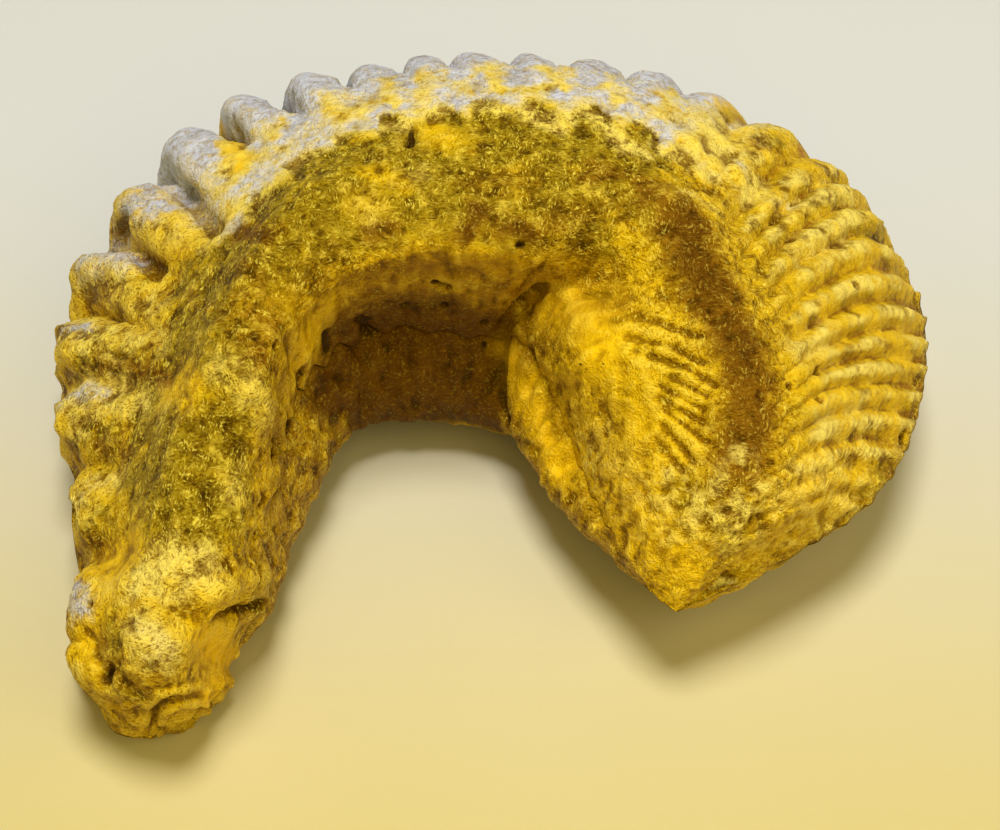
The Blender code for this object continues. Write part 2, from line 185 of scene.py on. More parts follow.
def fbm(p, size, octaves=4, seed=0, gain=0.5):
    total, amp, norm = 0, 1.0, 0
    for k in range(octaves):
        total = total + amp * noise(p, size / 2 ** k, seed + 17 * k)
        norm += amp
        amp *= gain
    return total / norm


def ridged(p, size, octaves=3, seed=0, gain=0.5):
    """0 to 1, near 1 on thin winding lines."""
    total, amp, norm = 0, 1.0, 0
    for k in range(octaves):
        total = total + amp * (1 - np.minimum(np.abs(noise(p, size / 2 ** k, seed + 31 * k)) * 2.2, 1))
        norm += amp
        amp *= gain
    return total / norm


def cells(p, size, seed=0):
    """Distances to the nearest and second nearest scattered point, in units of size."""
    q = np.asarray(p, float) / size + 500.0
    base = np.floor(q).astype(np.int64)
    near = np.full(q.shape[:-1], 9.0)
    second = np.full(q.shape[:-1], 9.0)
    for dx in (-1, 0, 1):
        for dy in (-1, 0, 1):
            for dz in (-1, 0, 1):
                cx, cy, cz = base[..., 0] + dx, base[..., 1] + dy, base[..., 2] + dz
                h = lattice(cx, cy, cz, seed)
                ox = (h & np.uint32(1023)).astype(float) / 1023
                oy = ((h >> np.uint32(10)) & np.uint32(1023)).astype(float) / 1023
                oz = ((h >> np.uint32(20)) & np.uint32(1023)).astype(float) / 1023
                d = np.sqrt((cx + ox - q[..., 0]) ** 2 + (cy + oy - q[..., 1]) ** 2
                            + (cz + oz - q[..., 2]) ** 2)
                second = np.where(d < near, near, np.minimum(second, d))
                near = np.minimum(near, d)
    return near, second


# ---------------------------------------------------------------- base surface
def rail(letter):
    return np.array([TIP] + [section[letter] for _, section in SECTIONS] + [BEAK], float)


RAILS = {letter: rail(letter) for letter in "OPAKBQIG"}
CHORDS = np.mean([np.linalg.norm(np.diff(RAILS[c], axis=0), axis=1) for c in "OPAKBQI"], axis=0)
RUN = np.concatenate([[0.0], np.cumsum(CHORDS) - 1.40])
LENGTH = float(RUN[-1])


def upper_rails():
    return np.stack([RAILS[c] for c in "OPAKBQI"])


def lower_rails():
    o, g = RAILS["O"], RAILS["G"]
    keel = along(KEEL, RUN)
    rows = [o]
    tuck = smooth(RUN, 138, 152)
    for share, height in ((0.10 + 0.22 * tuck, (0.50 + 0.25 * tuck) * o[:, 2]), (0.30 + 0.18 * tuck, keel + 2.0),
                          (0.56 + 0.06 * tuck, keel), (0.84, keel + 2.4)):
        row = o + (g - o) * (share * np.ones(len(o)))[:, None]
        row[:, 2] = np.minimum(height, np.minimum(o[:, 2], g[:, 2]) - 0.4)
        row[0], row[-1] = TIP, BEAK
        rows.append(row)
    return np.stack(rows + [g, RAILS["I"]])


def cross_knots(rails):
    chords = np.linalg.norm(np.diff(rails, axis=0), axis=2).mean(axis=1)
    knots = np.concatenate([[0.0], np.cumsum(chords)])
    return knots / knots[-1]


def skin(rails, run, across):
    knots = cross_knots(rails)

    def at(r, a):
        lines = np.einsum("cs,rsx->rcx", spline_weights(RUN, r), rails)
        return np.einsum("ar,rcx->acx", spline_weights(knots, a), lines)

    d = 0.35
    d_run = at(np.minimum(run + d, LENGTH), across) - at(np.maximum(run - d, 0), across)
    d_across = at(run, np.minimum(across + 0.01, 1)) - at(run, np.maximum(across - 0.01, 0))
    normal = np.cross(d_across, d_run)
    normal /= np.maximum(np.linalg.norm(normal, axis=2, keepdims=True), 1e-9)
    return at(run, across), normal


def grid_normals(rings, side):
    """Outward unit normals of a (rows, columns) sheet of points."""
    n = np.cross(np.gradient(rings, axis=0), np.gradient(rings, axis=1))
    n /= np.maximum(np.linalg.norm(n, axis=2, keepdims=True), 1e-9)
    return n * side


# ---------------------------------------------------------------- the camera's place
# The view of the reference: 50 degrees above the table, looking along +Y.
VIEW_UP = math.radians(50)
VIEW_D = 215.0
VIEW_F = 1970.0                      # focal length in pixels of a 1000 x 830 picture
AIM = np.array([0.0, 0.0, 14.0])
FORWARD = np.array([0, math.cos(VIEW_UP), -math.sin(VIEW_UP)])
UPWARD = np.array([0, math.sin(VIEW_UP), math.cos(VIEW_UP)])
EYE = AIM - VIEW_D * FORWARD


def picture(points):
    """Where points fall in the 1000 x 830 picture, and how deep."""
    q = points - EYE
    depth = q @ FORWARD
    return 500 + VIEW_F * q[..., 0] / depth, 415 - VIEW_F * (q @ UPWARD) / depth, depth


# ---------------------------------------------------------------- valves
def rib_profile(phase, lean):
    """1 on a crest, -1 in a valley: rounded backs, narrow valleys, leaning towards lower runs."""
    t = phase - np.floor(phase + 0.5)
    c = -0.5 * lean
    u = np.where(t < c, (c - t) / (c + 0.5), (t - c) / (0.5 - c))
    power = np.where(t < c, 2.2 + 2.0 * lean, 2.0 - np.minimum(3 * lean, 0.6))
    return 1 - 2 * np.clip(u, 0, 1) ** power


def rib_luck(phase, seed, amount):
    """Every rib has its own height."""
    k = np.floor(phase + 0.5).astype(np.int64)
    h = lattice(k, k * 0 + 3, k * 0 + 7, seed)
    return 1 + amount * ((h & np.uint32(1023)).astype(float) / 511.5 - 1)


def valve_rings(rails, side, run, across):
    phase_out = np.interp(run, OUTER_RIBS, range(len(OUTER_RIBS)))
    phase_in = np.interp(run, INNER_RIBS, range(len(INNER_RIBS)))
    rise_out = along(JOIN_RISE_OUT, run) * fold(phase_out)
    rise_in = along(JOIN_RISE_IN, run) * fold(phase_in)
    base, normal = skin(rails, run, across)
    if side < 0:
        normal = -normal
    a = across[:, None] + np.zeros((1, len(run)))
    r = run[None, :] + np.zeros((len(across), 1))
    swept = r + along(RIB_SWEEP, r) * smooth(a, 0.08, 0.5)
    swept = swept + mix(0.7, 0.35, smooth(r, 104, 114)) * noise(base, 6, 5) * smooth(a, 0.0, 0.3)
    phase = np.interp(swept, OUTER_RIBS, range(len(OUTER_RIBS))) + (0 if side > 0 else 0.5)
    near_join = 1 - smooth(a, 0.0, 0.12)
    ribs = mix(rib_profile(phase, along(LEAN, r)), fold(phase), near_join)
    bow = smooth(r, 48, 60) * (1 - smooth(r, 108, 114))
    ribs = np.where(ribs < 0, -np.abs(ribs) ** (1 - 0.42 * bow * smooth(a, 0.06, 0.18)), ribs)
    reach = along(RIB_REACH, r) - 0.05 * bow * smooth(-ribs, 0.0, 0.6)
    swell_out = smooth(a, 0, 0.16) * (1 - smooth(a, reach * 0.55, reach * 1.35))
    swell_in = smooth(1 - a, 0, 0.10) * (1 - smooth(1 - a, 0.10, 0.26))
    height = np.where(ribs > 0, along(CREST, r), along(VALLEY, r)) * rib_luck(phase, 11, 0.10)
    height = height * np.where(ribs > 0, 1, mix(1, mix(0.6, 1, smooth(a, 0.04, 0.16)), smooth(r, 78, 84) * (1 - smooth(r, 104, 110))))
    if side < 0:
        height = height * 0.8
    ribs_in = side * fold(phase_in)[None, :]
    bulge = swell_out * (height * ribs - (along(SINK, r) if side > 0 else 0)) + 0.3 * swell_in * ribs_in * (1 - 0.7 * smooth(r, 62, 72))
    lift = (1 - smooth(a, 0, 0.22)) * rise_out + (1 - smooth(1 - a, 0, 0.16)) * rise_in
    rings = base + normal * bulge[:, :, None]
    rings[:, :, 2] += lift
    rim = spline_weights(RUN, np.clip(run[:, None] + np.array([-0.5, 0.5]), 0, LENGTH).ravel()) @ RAILS["O"]
    rim = rim.reshape(-1, 2, 3)
    away = np.stack([rim[:, 0, 1] - rim[:, 1, 1], rim[:, 1, 0] - rim[:, 0, 0]], axis=1)
    away /= np.maximum(np.linalg.norm(away, axis=1, keepdims=True), 1e-9)
    scallop = along(SCALLOP, run) * (2 * np.abs(fold(phase_out)) - 1) - along(RIM_IN, run)
    rings[:, :, :2] += (1 - smooth(a, 0.02, 0.20))[:, :, None] * scallop[None, :, None] * away[None]
    return rings, dict(a=a, run=r, phase=phase, ribs=ribs, ribs_in=ribs_in + 0 * a,
                       swell=swell_out, swell_in=swell_in)


COLUMNS, UPPER_ROWS, LOWER_ROWS = ((510, 188, 130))
RUNS = np.linspace(0, LENGTH, COLUMNS)
SHEETS = {}
for name, rails, side, rows in (("upper", upper_rails(), 1, UPPER_ROWS), ("lower", lower_rails(), -1, LOWER_ROWS)):
    rings, info = valve_rings(rails, side, RUNS, np.linspace(0, 1, rows))
    SHEETS[name] = dict(side=side, rings=rings, info=info, n=grid_normals(rings, side))

# Every point of both sheets, and where the camera sees it: single features are placed one by one.
SEEN = np.concatenate([s["rings"].reshape(-1, 3) for s in SHEETS.values()])
SEEN_U, SEEN_V, SEEN_D = picture(SEEN)


def pick(u, v):
    """The point of the surface that the camera sees at picture position (u, v)."""
    d2 = (SEEN_U - u) ** 2 + (SEEN_V - v) ** 2
    for reach in (4.5, 8, 16, 32, 64):
        near = np.nonzero(d2 < reach * reach)[0]
        if len(near) > 1:
            front = near[SEEN_D[near] < SEEN_D[near].min() + 1.6]
            return SEEN[front[np.argmin(d2[front])]]
    return SEEN[np.argmin(d2)]


def stroke(points, radius, line):
    """Falloff 1 to 0 with distance from a line of picked points, radius in mm."""
    out = np.zeros(points.shape[:-1])
    picked = [pick(u, v) for u, v in line]
    if len(picked) == 1:
        picked = picked * 2
    lo = np.min(picked, axis=0) - 2.6 * radius
    hi = np.max(picked, axis=0) + 2.6 * radius
    inside = np.all((points > lo) & (points < hi), axis=-1)
    q = points[inside]
    if not len(q):
        return out
    best = np.full(len(q), 1e9)
    for p0, p1 in zip(picked[:-1], picked[1:]):
        d = p1 - p0
        t = np.clip(((q - p0) @ d) / max(d @ d, 1e-9), 0, 1)
        best = np.minimum(best, np.sum((q - p0 - t[:, None] * d) ** 2, axis=1))
    out[inside] = np.exp(-best / radius ** 2)
    return out


# Relief: (height mm, radius mm, line of picture positions)
RELIEF = [
    # pits and borer holes
    (-1.6, 0.41, [(411, 136), (410, 143)]), (-1.0, 0.38, [(435, 283), (447, 287)]), (-0.9, 0.38, [(444, 307)]),
    (-0.8, 0.38, [(404, 306)]), (-0.8, 0.45, [(483, 322)]), (-0.8, 0.45, [(485, 347)]), (-0.8, 0.38, [(657, 138)]),
    (-0.8, 0.38, [(520, 246)]), (-1.1, 0.60, [(107, 668), (104, 682)]),
    (-0.8, 0.38, [(790, 385)]), (-0.8, 0.34, [(254, 337)]), (-0.8, 0.34, [(273, 348)]),
    (-1.0, 0.45, [(857, 285)]), (-0.9, 0.45, [(836, 210)]), (-0.9, 0.45, [(790, 240)]), (-1.2, 0.52, [(903, 438)]),
    (-0.9, 0.45, [(815, 372)]), (-0.9, 0.45, [(820, 400)]), (-0.8, 0.45, [(92, 606)]),
    # hollows between the left ribs
    (-1.6, 1.6, [(118, 240), (122, 222)]), (-1.3, 1.2, [(140, 262), (158, 274)]), (-0.9, 3.0, [(110, 366), (170, 366)]),
    (-1.4, 1.3, [(185, 192), (215, 228)]), (-0.8, 2.5, [(85, 545), (120, 560)]),
    # left arm bosses
    (0.9, 2.6, [(250, 395), (262, 415)]), (0.7, 3.2, [(215, 365), (240, 375)]), (0.8, 3.0, [(150, 650), (175, 650)]),
    (0.7, 2.6, [(100, 600), (130, 590)]), (0.6, 2.2, [(225, 470), (235, 500)]),
    # cracks and lips near the tip
    (0.9, 1.5, [(208, 590), (235, 586), (262, 580)]), (-1.5, 0.5, [(216, 618), (236, 612), (263, 604)]), (-0.8, 0.9, [(206, 632), (222, 622), (248, 616)]),
    (-0.25, 1.0, [(194, 615), (198, 640), (210, 655)]), (-0.3, 0.9, [(122, 630), (118, 660), (128, 688)]),
    (-0.55, 0.7, [(88, 632), (96, 660), (104, 685)]),
    (0.6, 0.7, [(146, 722), (148, 704), (160, 692), (180, 688), (205, 692)]), (-0.5, 0.4, [(153, 722), (156, 706), (168, 697), (190, 694), (212, 698)]),
    (0.5, 0.5, [(160, 722), (165, 709), (180, 703), (208, 703)]), (-0.4, 0.35, [(168, 724), (176, 713), (192, 709), (210, 708)]), (0.4, 0.5, [(178, 726), (190, 716), (208, 712)]),
    # notches along the inner join
    (-0.8, 0.6, [(330, 335), (330, 352)]), (-0.8, 0.6, [(360, 318), (370, 334)]), (-0.8, 0.6, [(303, 372), (300, 382)]),
    (-1.0, 0.6, [(291, 418), (289, 434)]), (-0.9, 0.6, [(277, 444), (276, 455)]), (-0.8, 0.7, [(266, 500), (258, 535)]),
    # outline: an undercut towards the beak
    (-0.6, 2.0, [(590, 545), (640, 588)]),
    # bubbles where the knobs pass into the flank
    (0.7, 1.4, [(688, 148)]), (0.7, 1.4, [(712, 166)]), (0.7, 1.5, [(736, 178)]), (0.6, 1.3, [(722, 146)]), (0.6, 1.4, [(757, 196)]),
    (-0.25, 0.6, [(702, 146), (706, 158)]), (-0.2, 0.6, [(724, 160), (728, 172)]), (-0.2, 0.6, [(744, 165), (750, 182)]),
    # the hump that fills the lobe up to the crease
    (1.3, 3.4, [(560, 304), (585, 322)]), (0.7, 3.0, [(530, 330), (545, 350)]),
    # hollows under the knobs' lower left sides
    (-0.9, 0.7, [(241, 130), (246, 148)]), (-0.25, 0.4, [(478, 84), (476, 100)]),
    # crease beside the lobe
    (-0.5, 0.8, [(560, 277), (545, 285)]), (-1.1, 0.9, [(540, 288), (518, 303)]), (-1.0, 1.0, [(510, 312), (499, 345), (499, 400), (505, 440)]),
    # the lobe's fine grooves
    (-0.55, 0.42, [(632, 317), (660, 322), (700, 335)]), (-0.55, 0.42, [(625, 338), (670, 343), (702, 362)]),
    (-0.6, 0.42, [(650, 357), (685, 366), (715, 385)]), (-0.6, 0.42, [(672, 375), (705, 396)]),
    (-0.6, 0.42, [(662, 386), (703, 408)]), (-0.6, 0.42, [(660, 398), (702, 422)]),
    (-0.6, 0.42, [(662, 410), (704, 440)]), (-0.6, 0.42, [(662, 424), (692, 460)]), (-0.5, 0.42, [(655, 440), (680, 470)]),
    (-0.5, 0.5, [(588, 299), (604, 297)]),
]

# Pigments: (kind, amount, radius mm, line of picture positions)
PAINT = [
    ("chalk", 1.0, 2.6, [(240, 98), (252, 110)]), ("chalk", 1.0, 2.4, [(300, 84), (308, 92)]),
    ("chalk", 1.0, 2.4, [(364, 72), (368, 90)]), ("chalk", 1.0, 2.2, [(415, 66), (412, 80)]),
    ("chalk", 1.0, 2.2, [(462, 60), (458, 78)]), ("chalk", 1.0, 2.4, [(525, 66), (520, 84)]),
    ("chalk", 1.0, 2.2, [(590, 70), (588, 84)]), ("chalk", 1.0, 2.4, [(650, 82), (640, 100)]),
    ("chalk", 0.8, 1.8, [(705, 94)]), ("chalk", 1.0, 3.0, [(185, 135), (205, 160)]),
    ("chalk", 1.0, 2.6, [(170, 160), (200, 170)]), ("chalk", 1.0, 2.4, [(130, 202), (160, 212)]),
    ("chalk", 0.8, 2.2, [(110, 250), (125, 262)]), ("cream", 0.7, 2.6, [(62, 322), (95, 322)]),
    ("cream", 0.8, 2.8, [(62, 398), (110, 396)]), ("chalk", 0.9, 2.0, [(75, 592), (88, 608)]),
    ("stain", 1.0, 1.8, [(218, 128), (236, 150), (246, 168)]), ("stain", 0.8, 1.6, [(335, 108), (345, 116)]),
    ("stain", 0.9, 1.6, [(385, 84), (395, 92)]), ("stain", 0.8, 1.3, [(492, 66), (500, 80)]),
    ("stain", 0.8, 1.6, [(430, 84), (425, 92)]), ("stain", 0.7, 1.8, [(535, 92), (556, 82)]),
    ("stain", 0.7, 1.8, [(612, 92), (622, 84)]), ("stain", 0.8, 1.8, [(672, 96), (660, 112)]),
    ("stain", 0.7, 2.0, [(720, 112), (740, 118)]),
]
PAINT += [
    # the band of cream lips under the knobs
    ("cream", 0.9, 1.5, [(245, 172), (262, 168), (285, 172), (300, 160), (330, 146), (345, 132), (372, 130), (396, 126), (425, 112), (450, 108), (478, 104)]),
    ("cream", 0.9, 1.6, [(478, 104), (505, 108), (535, 116), (555, 126), (575, 108), (590, 112), (612, 132), (622, 146), (640, 150)]),
    ("cream", 0.9, 1.7, [(300, 118), (310, 130)]), ("cream", 0.8, 1.4, [(360, 102), (378, 112)]),
    ("cream", 0.8, 2.0, [(262, 140), (300, 148)]), ("cream", 0.8, 1.8, [(228, 186), (262, 202)]),
    ("cream", 0.9, 2.0, [(668, 150), (690, 150)]), ("cream", 0.8, 1.8, [(708, 160), (724, 160)]),
    ("cream", 0.8, 1.6, [(745, 165), (752, 180)]), ("cream", 0.8, 1.8, [(720, 135), (745, 130), (790, 130)]),
    ("cream", 0.7, 1.8, [(775, 200), (795, 205)]), ("cream", 0.6, 1.6, [(560, 104), (585, 98)]),
    ("cream", 0.7, 1.6, [(640, 118), (650, 128)]),
    # dark and olive patches of the roof
    ("olive", 1.0, 2.6, [(235, 225), (260, 235)]), ("umber", 0.9, 1.6, [(238, 228), (252, 232), (268, 238)]),
    ("olive", 0.9, 3.0, [(185, 285), (215, 300), (235, 325)]), ("olive", 0.9, 3.4, [(90, 368), (140, 370)]),
    ("olive", 1.0, 4.5, [(160, 455), (220, 460)]), ("olive", 1.0, 5.0, [(155, 500), (200, 520), (225, 490)]),
    ("olive", 0.8, 3.0, [(300, 165), (330, 170)]), ("olive", 0.7, 3.0, [(355, 150), (385, 160)]),
    ("olive", 0.7, 3.5, [(290, 195), (330, 215)]), ("umber", 0.7, 1.6, [(475, 215), (465, 238), (458, 240)]),
    ("umber", 0.7, 1.6, [(370, 232), (390, 228)]), ("umber", 0.6, 2.5, [(500, 225), (530, 230), (560, 225)]),
    ("umber", 0.6, 2.6, [(590, 175), (620, 172)]), ("umber", 0.5, 3.0, [(480, 185), (520, 182)]),
    ("umber", 0.7, 3.0, [(640, 185), (665, 200)]), ("umber", 0.5, 2.6, [(570, 215), (610, 212)]),
    ("stain", 0.7, 2.6, [(430, 130), (450, 140)]), ("stain", 0.6, 2.2, [(372, 172), (400, 182)]),
    ("stain", 0.5, 2.5, [(360, 205), (375, 208)]), ("stain", 0.6, 2.6, [(630, 235), (640, 262)]),
    ("cream", 0.45, 2.4, [(365, 205), (372, 210)]), ("cream", 0.4, 2.0, [(405, 172), (420, 178)]),
    # left arm
    ("cream", 0.85, 3.2, [(145, 580), (170, 568), (200, 572)]), ("cream", 1.0, 2.6, [(140, 635), (165, 655)]), ("chalk", 0.25, 2.2, [(142, 636), (160, 650)]), ("chalk", 0.12, 2.4, [(150, 578), (185, 570)]),
    ("cream", 0.6, 2.6, [(245, 390), (262, 420)]), ("cream", 0.5, 3.0, [(125, 400), (165, 410)]),
    ("cream", 0.5, 2.4, [(120, 330), (160, 340)]), ("cream", 0.4, 2.4, [(220, 375), (235, 365)]),
    ("cream", 0.5, 2.2, [(140, 300), (160, 305)]), ("cream", 0.4, 2.0, [(230, 490), (240, 470)]),
    ("stain", 0.8, 3.0, [(105, 558), (130, 545), (112, 580)]), ("stain", 0.7, 2.6, [(185, 375), (195, 395), (165, 390)]),
    ("stain", 0.6, 2.4, [(90, 640), (75, 655), (90, 670)]), ("stain", 0.25, 2.2, [(160, 225), (190, 240)]), ("stain", 0.9, 2.4, [(200, 628), (225, 662), (205, 692)]),
    ("cream", 0.6, 2.6, [(130, 222), (175, 240)]), ("cream", 0.6, 2.6, [(85, 270), (125, 285)]), ("cream", 0.5, 2.6, [(75, 330), (120, 325)]),
    ("olive", 0.7, 3.4, [(80, 430), (112, 455)]), ("olive", 0.6, 3.0, [(88, 515), (115, 530)]), ("cream", 0.5, 2.6, [(85, 488), (120, 480)]),
    ("stain", 0.5, 2.4, [(260, 485), (275, 505)]), ("stain", 0.6, 2.4, [(190, 700), (225, 680)]),
    ("stain", 0.5, 2.6, [(225, 640), (205, 625)]), ("stain", 0.3, 2.2, [(70, 455), (85, 475)]),
    ("stain", 0.25, 2.4, [(95, 480), (120, 490)]),
    # painted shade in the crevices, hollows and valleys between the left ribs
    ("umber", 0.5, 1.4, [(140, 260), (160, 273)]), ("umber", 0.7, 2.2, [(95, 545), (75, 555)]),
    ("umber", 0.8, 1.8, [(105, 662), (108, 680)]), ("umber", 0.6, 2.0, [(90, 380), (130, 378)]),
    ("umber", 0.6, 1.6, [(190, 196), (213, 226)]), ("umber", 0.6, 1.8, [(118, 245), (120, 225)]),
    ("umber", 0.6, 1.6, [(255, 500), (275, 510)]), ("umber", 0.5, 2.4, [(240, 268), (260, 275)]),
    # inner wall, its brown darkest to the bottom as painted shade
    ("umber", 1.0, 5.0, [(330, 390), (400, 385), (470, 395)]), ("umber", 1.0, 4.0, [(360, 345), (420, 350), (480, 355)]),
    ("umber", 0.8, 3.0, [(345, 310), (350, 330)]), ("umber", 0.7, 2.0, [(365, 318), (330, 350), (300, 380), (292, 425), (278, 450)]),
    ("umber", 0.6, 2.4, [(310, 430), (300, 470)]), ("rust", 0.7, 2.6, [(430, 325), (460, 340)]),
    ("stain", 0.35, 4.0, [(400, 265), (470, 262), (500, 290)]), ("rust", 0.6, 2.6, [(395, 365), (440, 372), (480, 372)]),
    # painted shade along the crease where the lobe meets the inner wall
    ("umber", 0.7, 1.2, [(545, 285), (515, 306)]), ("umber", 0.8, 0.9, [(504, 318), (490, 350), (488, 400), (494, 428)]),
    ("rust", 0.5, 0.8, [(525, 325), (537, 368), (553, 410)]), ("umber", 0.7, 3.0, [(478, 330), (482, 380), (486, 415)]),
    # painted shade in the hollows under the knobs' lower left sides
    ("umber", 0.6, 0.9, [(238, 128), (243, 146)]), ("umber", 0.3, 0.8, [(291, 112), (298, 132)]),
    # brown inner slope of the arm and shoulder
    ("umber", 0.5, 4.0, [(310, 285), (278, 312), (262, 345)]), ("umber", 0.5, 3.0, [(285, 370), (278, 415), (290, 465)]),
    ("rust", 0.5, 3.0, [(240, 300), (260, 325), (262, 360)]), ("umber", 0.4, 3.0, [(345, 262), (420, 255), (500, 262), (560, 250)]),
    ("dark_brown_and_shade", 0.12, 2.4, [(310, 330), (296, 350), (288, 375)]), ("dark_brown_and_shade", 0.4, 2.0, [(275, 440), (285, 470), (272, 500)]),
    # partly painted light: the shaded yellow valley wall beside the eighth knob and the tip's right side painted
    # lighter
    ("yellow_and_painted_light", 0.7, 1.1, [(221, 122), (230, 140), (244, 164)]), ("yellow_and_painted_light", 0.65, 2.4, [(204, 640), (225, 662), (212, 690)]),
    ("yellow_and_painted_light", 0.35, 2.0, [(285, 300), (300, 320), (310, 340)]),
    # lobe: the hump's strong yellow, its left strip painted lighter as painted light, and painted shade along its
    # crease
    ("yellow_and_painted_light", 0.45, 3.6, [(566, 302), (592, 316), (605, 345)]), ("yellow_and_painted_light", 0.35, 4.0, [(590, 360), (620, 380)]), ("yellow_and_painted_light", 0.4, 3.0, [(640, 420), (640, 450)]),
    ("stain", 1.0, 4.0, [(560, 300), (590, 310), (600, 340)]), ("stain", 0.5, 4.0, [(590, 360), (640, 375), (640, 420)]), ("olive", 0.4, 5.0, [(590, 345), (640, 375), (640, 420)]),
    ("stain", 0.7, 3.0, [(540, 300), (530, 320)]), ("stain", 1.0, 2.4, [(520, 345), (528, 380), (545, 420), (570, 470)]), ("yellow_and_painted_light", 0.75, 2.0, [(515, 355), (522, 395), (540, 430), (562, 468)]),
    ("stain", 0.6, 3.4, [(600, 500), (640, 540), (680, 560)]), ("cream", 0.4, 3.0, [(600, 440), (640, 465)]),
    ("cream", 0.35, 3.0, [(620, 500), (670, 520)]), ("rust", 0.4, 2.4, [(630, 405), (645, 425)]),
    ("umber", 0.7, 1.6, [(520, 300), (505, 330)]),
    # the smooth brown band between lobe and flank
    ("umber", 1.0, 3.9, [(680, 218), (692, 250), (706, 285)]), ("umber", 1.0, 3.7, [(706, 285), (730, 320), (746, 360)]),
    ("umber", 0.95, 4.2, [(748, 360), (752, 410), (742, 455)]), ("umber", 0.6, 3.6, [(742, 455), (730, 500)]),
    ("umber", 0.5, 3.0, [(640, 205), (655, 190)]), ("olive", 0.8, 4.0, [(690, 500), (735, 520)]),
    ("band", 1.0, 3.4, [(665, 210), (690, 245), (700, 285), (722, 320), (742, 365), (752, 410), (745, 450)]),
    ("smooth", 0.6, 3.6, [(545, 300), (590, 320), (600, 350)]), ("smooth", 0.7, 4.0, [(420, 265), (500, 265)]),
    # rough ground below the band
    ("cream", 0.8, 1.3, [(745, 455)]), ("cream", 0.8, 1.3, [(765, 488)]), ("cream", 0.8, 1.3, [(712, 485)]), ("cream", 0.7, 1.5, [(692, 518)]),
    ("cream", 0.7, 1.3, [(742, 503)]), ("cream", 0.7, 1.3, [(655, 505)]), ("cream", 0.7, 1.4, [(720, 520)]), ("cream", 0.6, 1.3, [(668, 470)]),
    ("umber", 0.7, 1.2, [(730, 470)]), ("umber", 0.7, 1.2, [(756, 524)]), ("umber", 0.7, 1.4, [(705, 545), (725, 555)]), ("umber", 0.7, 1.2, [(660, 545)]),
    ("umber", 0.6, 1.3, [(640, 478)]), ("umber", 0.6, 1.3, [(690, 490)]), ("umber", 0.5, 1.3, [(600, 470), (612, 480)]), ("umber", 0.5, 1.3, [(668, 570)]),
    # right flank
    ("cream", 0.5, 2.6, [(830, 190), (850, 200)]), ("cream", 0.5, 2.6, [(800, 250), (840, 240)]),
    ("cream", 0.5, 3.0, [(800, 350), (830, 340)]), ("cream", 0.4, 3.0, [(820, 420), (860, 420)]),
    ("cream", 0.6, 2.0, [(800, 470), (830, 462)]), ("cream", 0.6, 1.8, [(770, 500), (800, 500)]), ("cream", 0.5, 2.0, [(840, 500), (815, 525)]), ("cream", 0.5, 2.0, [(720, 540), (760, 545)]),
    ("umber", 0.5, 1.6, [(790, 520), (770, 540)]), ("umber", 0.5, 1.6, [(745, 515), (730, 525)]),
    ("rust", 0.9, 1.6, [(798, 148), (806, 152)]), ("rust", 0.7, 1.6, [(750, 143), (765, 148)]),
    ("umber", 0.6, 1.8, [(870, 262), (880, 270)]), ("umber", 0.5, 2.0, [(855, 350), (870, 365)]),
    ("umber", 0.5, 2.2, [(890, 440), (900, 455)]),
    ("olive", 0.6, 3.0, [(880, 480), (860, 505), (820, 535)]),
    # pale ends of the left ribs, mottled upper flank
    ("chalk", 0.95, 1.5, [(86, 266), (108, 260), (134, 262)]), ("chalk", 0.5, 1.6, [(84, 276), (108, 270), (136, 270)]), ("chalk", 0.75, 1.4, [(60, 330), (88, 326)]), ("cream", 0.8, 1.9, [(62, 336), (110, 330)]), ("cream", 0.8, 2.2, [(84, 280), (130, 276)]),
    ("chalk", 0.7, 1.6, [(64, 398), (100, 392)]), ("cream", 0.8, 2.0, [(66, 404), (125, 398)]), ("cream", 0.7, 1.9, [(84, 488), (112, 482)]), ("chalk", 0.3, 1.5, [(84, 492), (104, 484)]),
    ("chalk", 0.35, 2.2, [(76, 600), (100, 578)]), ("cream", 0.6, 2.2, [(84, 596), (116, 582)]), ("chalk", 0.5, 1.4, [(125, 195), (152, 196)]),
    ("olive", 0.8, 1.6, [(716, 116), (742, 122)]), ("umber", 0.5, 1.2, [(722, 118), (740, 121)]), ("olive", 0.8, 1.6, [(742, 142), (778, 146)]),
    ("umber", 0.5, 1.4, [(738, 144), (772, 148)]), ("chalk", 0.42, 1.5, [(744, 170)]), ("cream", 0.8, 1.6, [(742, 164), (750, 180)]), ("chalk", 0.5, 1.2, [(728, 128), (758, 128)]),
    ("chalk", 0.35, 1.4, [(784, 206)]), ("cream", 0.8, 1.6, [(776, 202), (794, 208)]), ("olive", 0.7, 1.9, [(805, 200), (838, 200)]), ("umber", 0.35, 1.4, [(812, 202), (832, 204)]),
    ("olive", 0.7, 1.9, [(858, 228), (884, 240)]), ("olive", 0.6, 1.8, [(760, 232), (775, 240)]), ("cream", 0.6, 1.8, [(700, 172), (718, 166)]),
    ("cream", 0.6, 1.6, [(820, 236), (842, 226)]), ("cream", 0.7, 1.6, [(738, 196), (765, 188)]), ("olive", 0.6, 1.8, [(890, 300), (905, 310)]),
    ("umber", 0.5, 0.9, [(832, 213)]), ("umber", 0.5, 0.9, [(775, 241)]), ("rust", 0.7, 0.8, [(846, 286)]), ("umber", 0.5, 1.0, [(868, 262), (874, 268)]),
    # painted light: the strong yellow stroke on this line lifts the lower flank
    ("yellow_and_painted_light", 0.3, 3.0, [(790, 505), (850, 485)]), ("cream", 0.6, 1.4, [(690, 196), (712, 206)]), ("olive", 0.5, 1.6, [(800, 268), (826, 262)]),
    # yellow right-hand sides of the knobs, as painted warm light on the side turned to the right
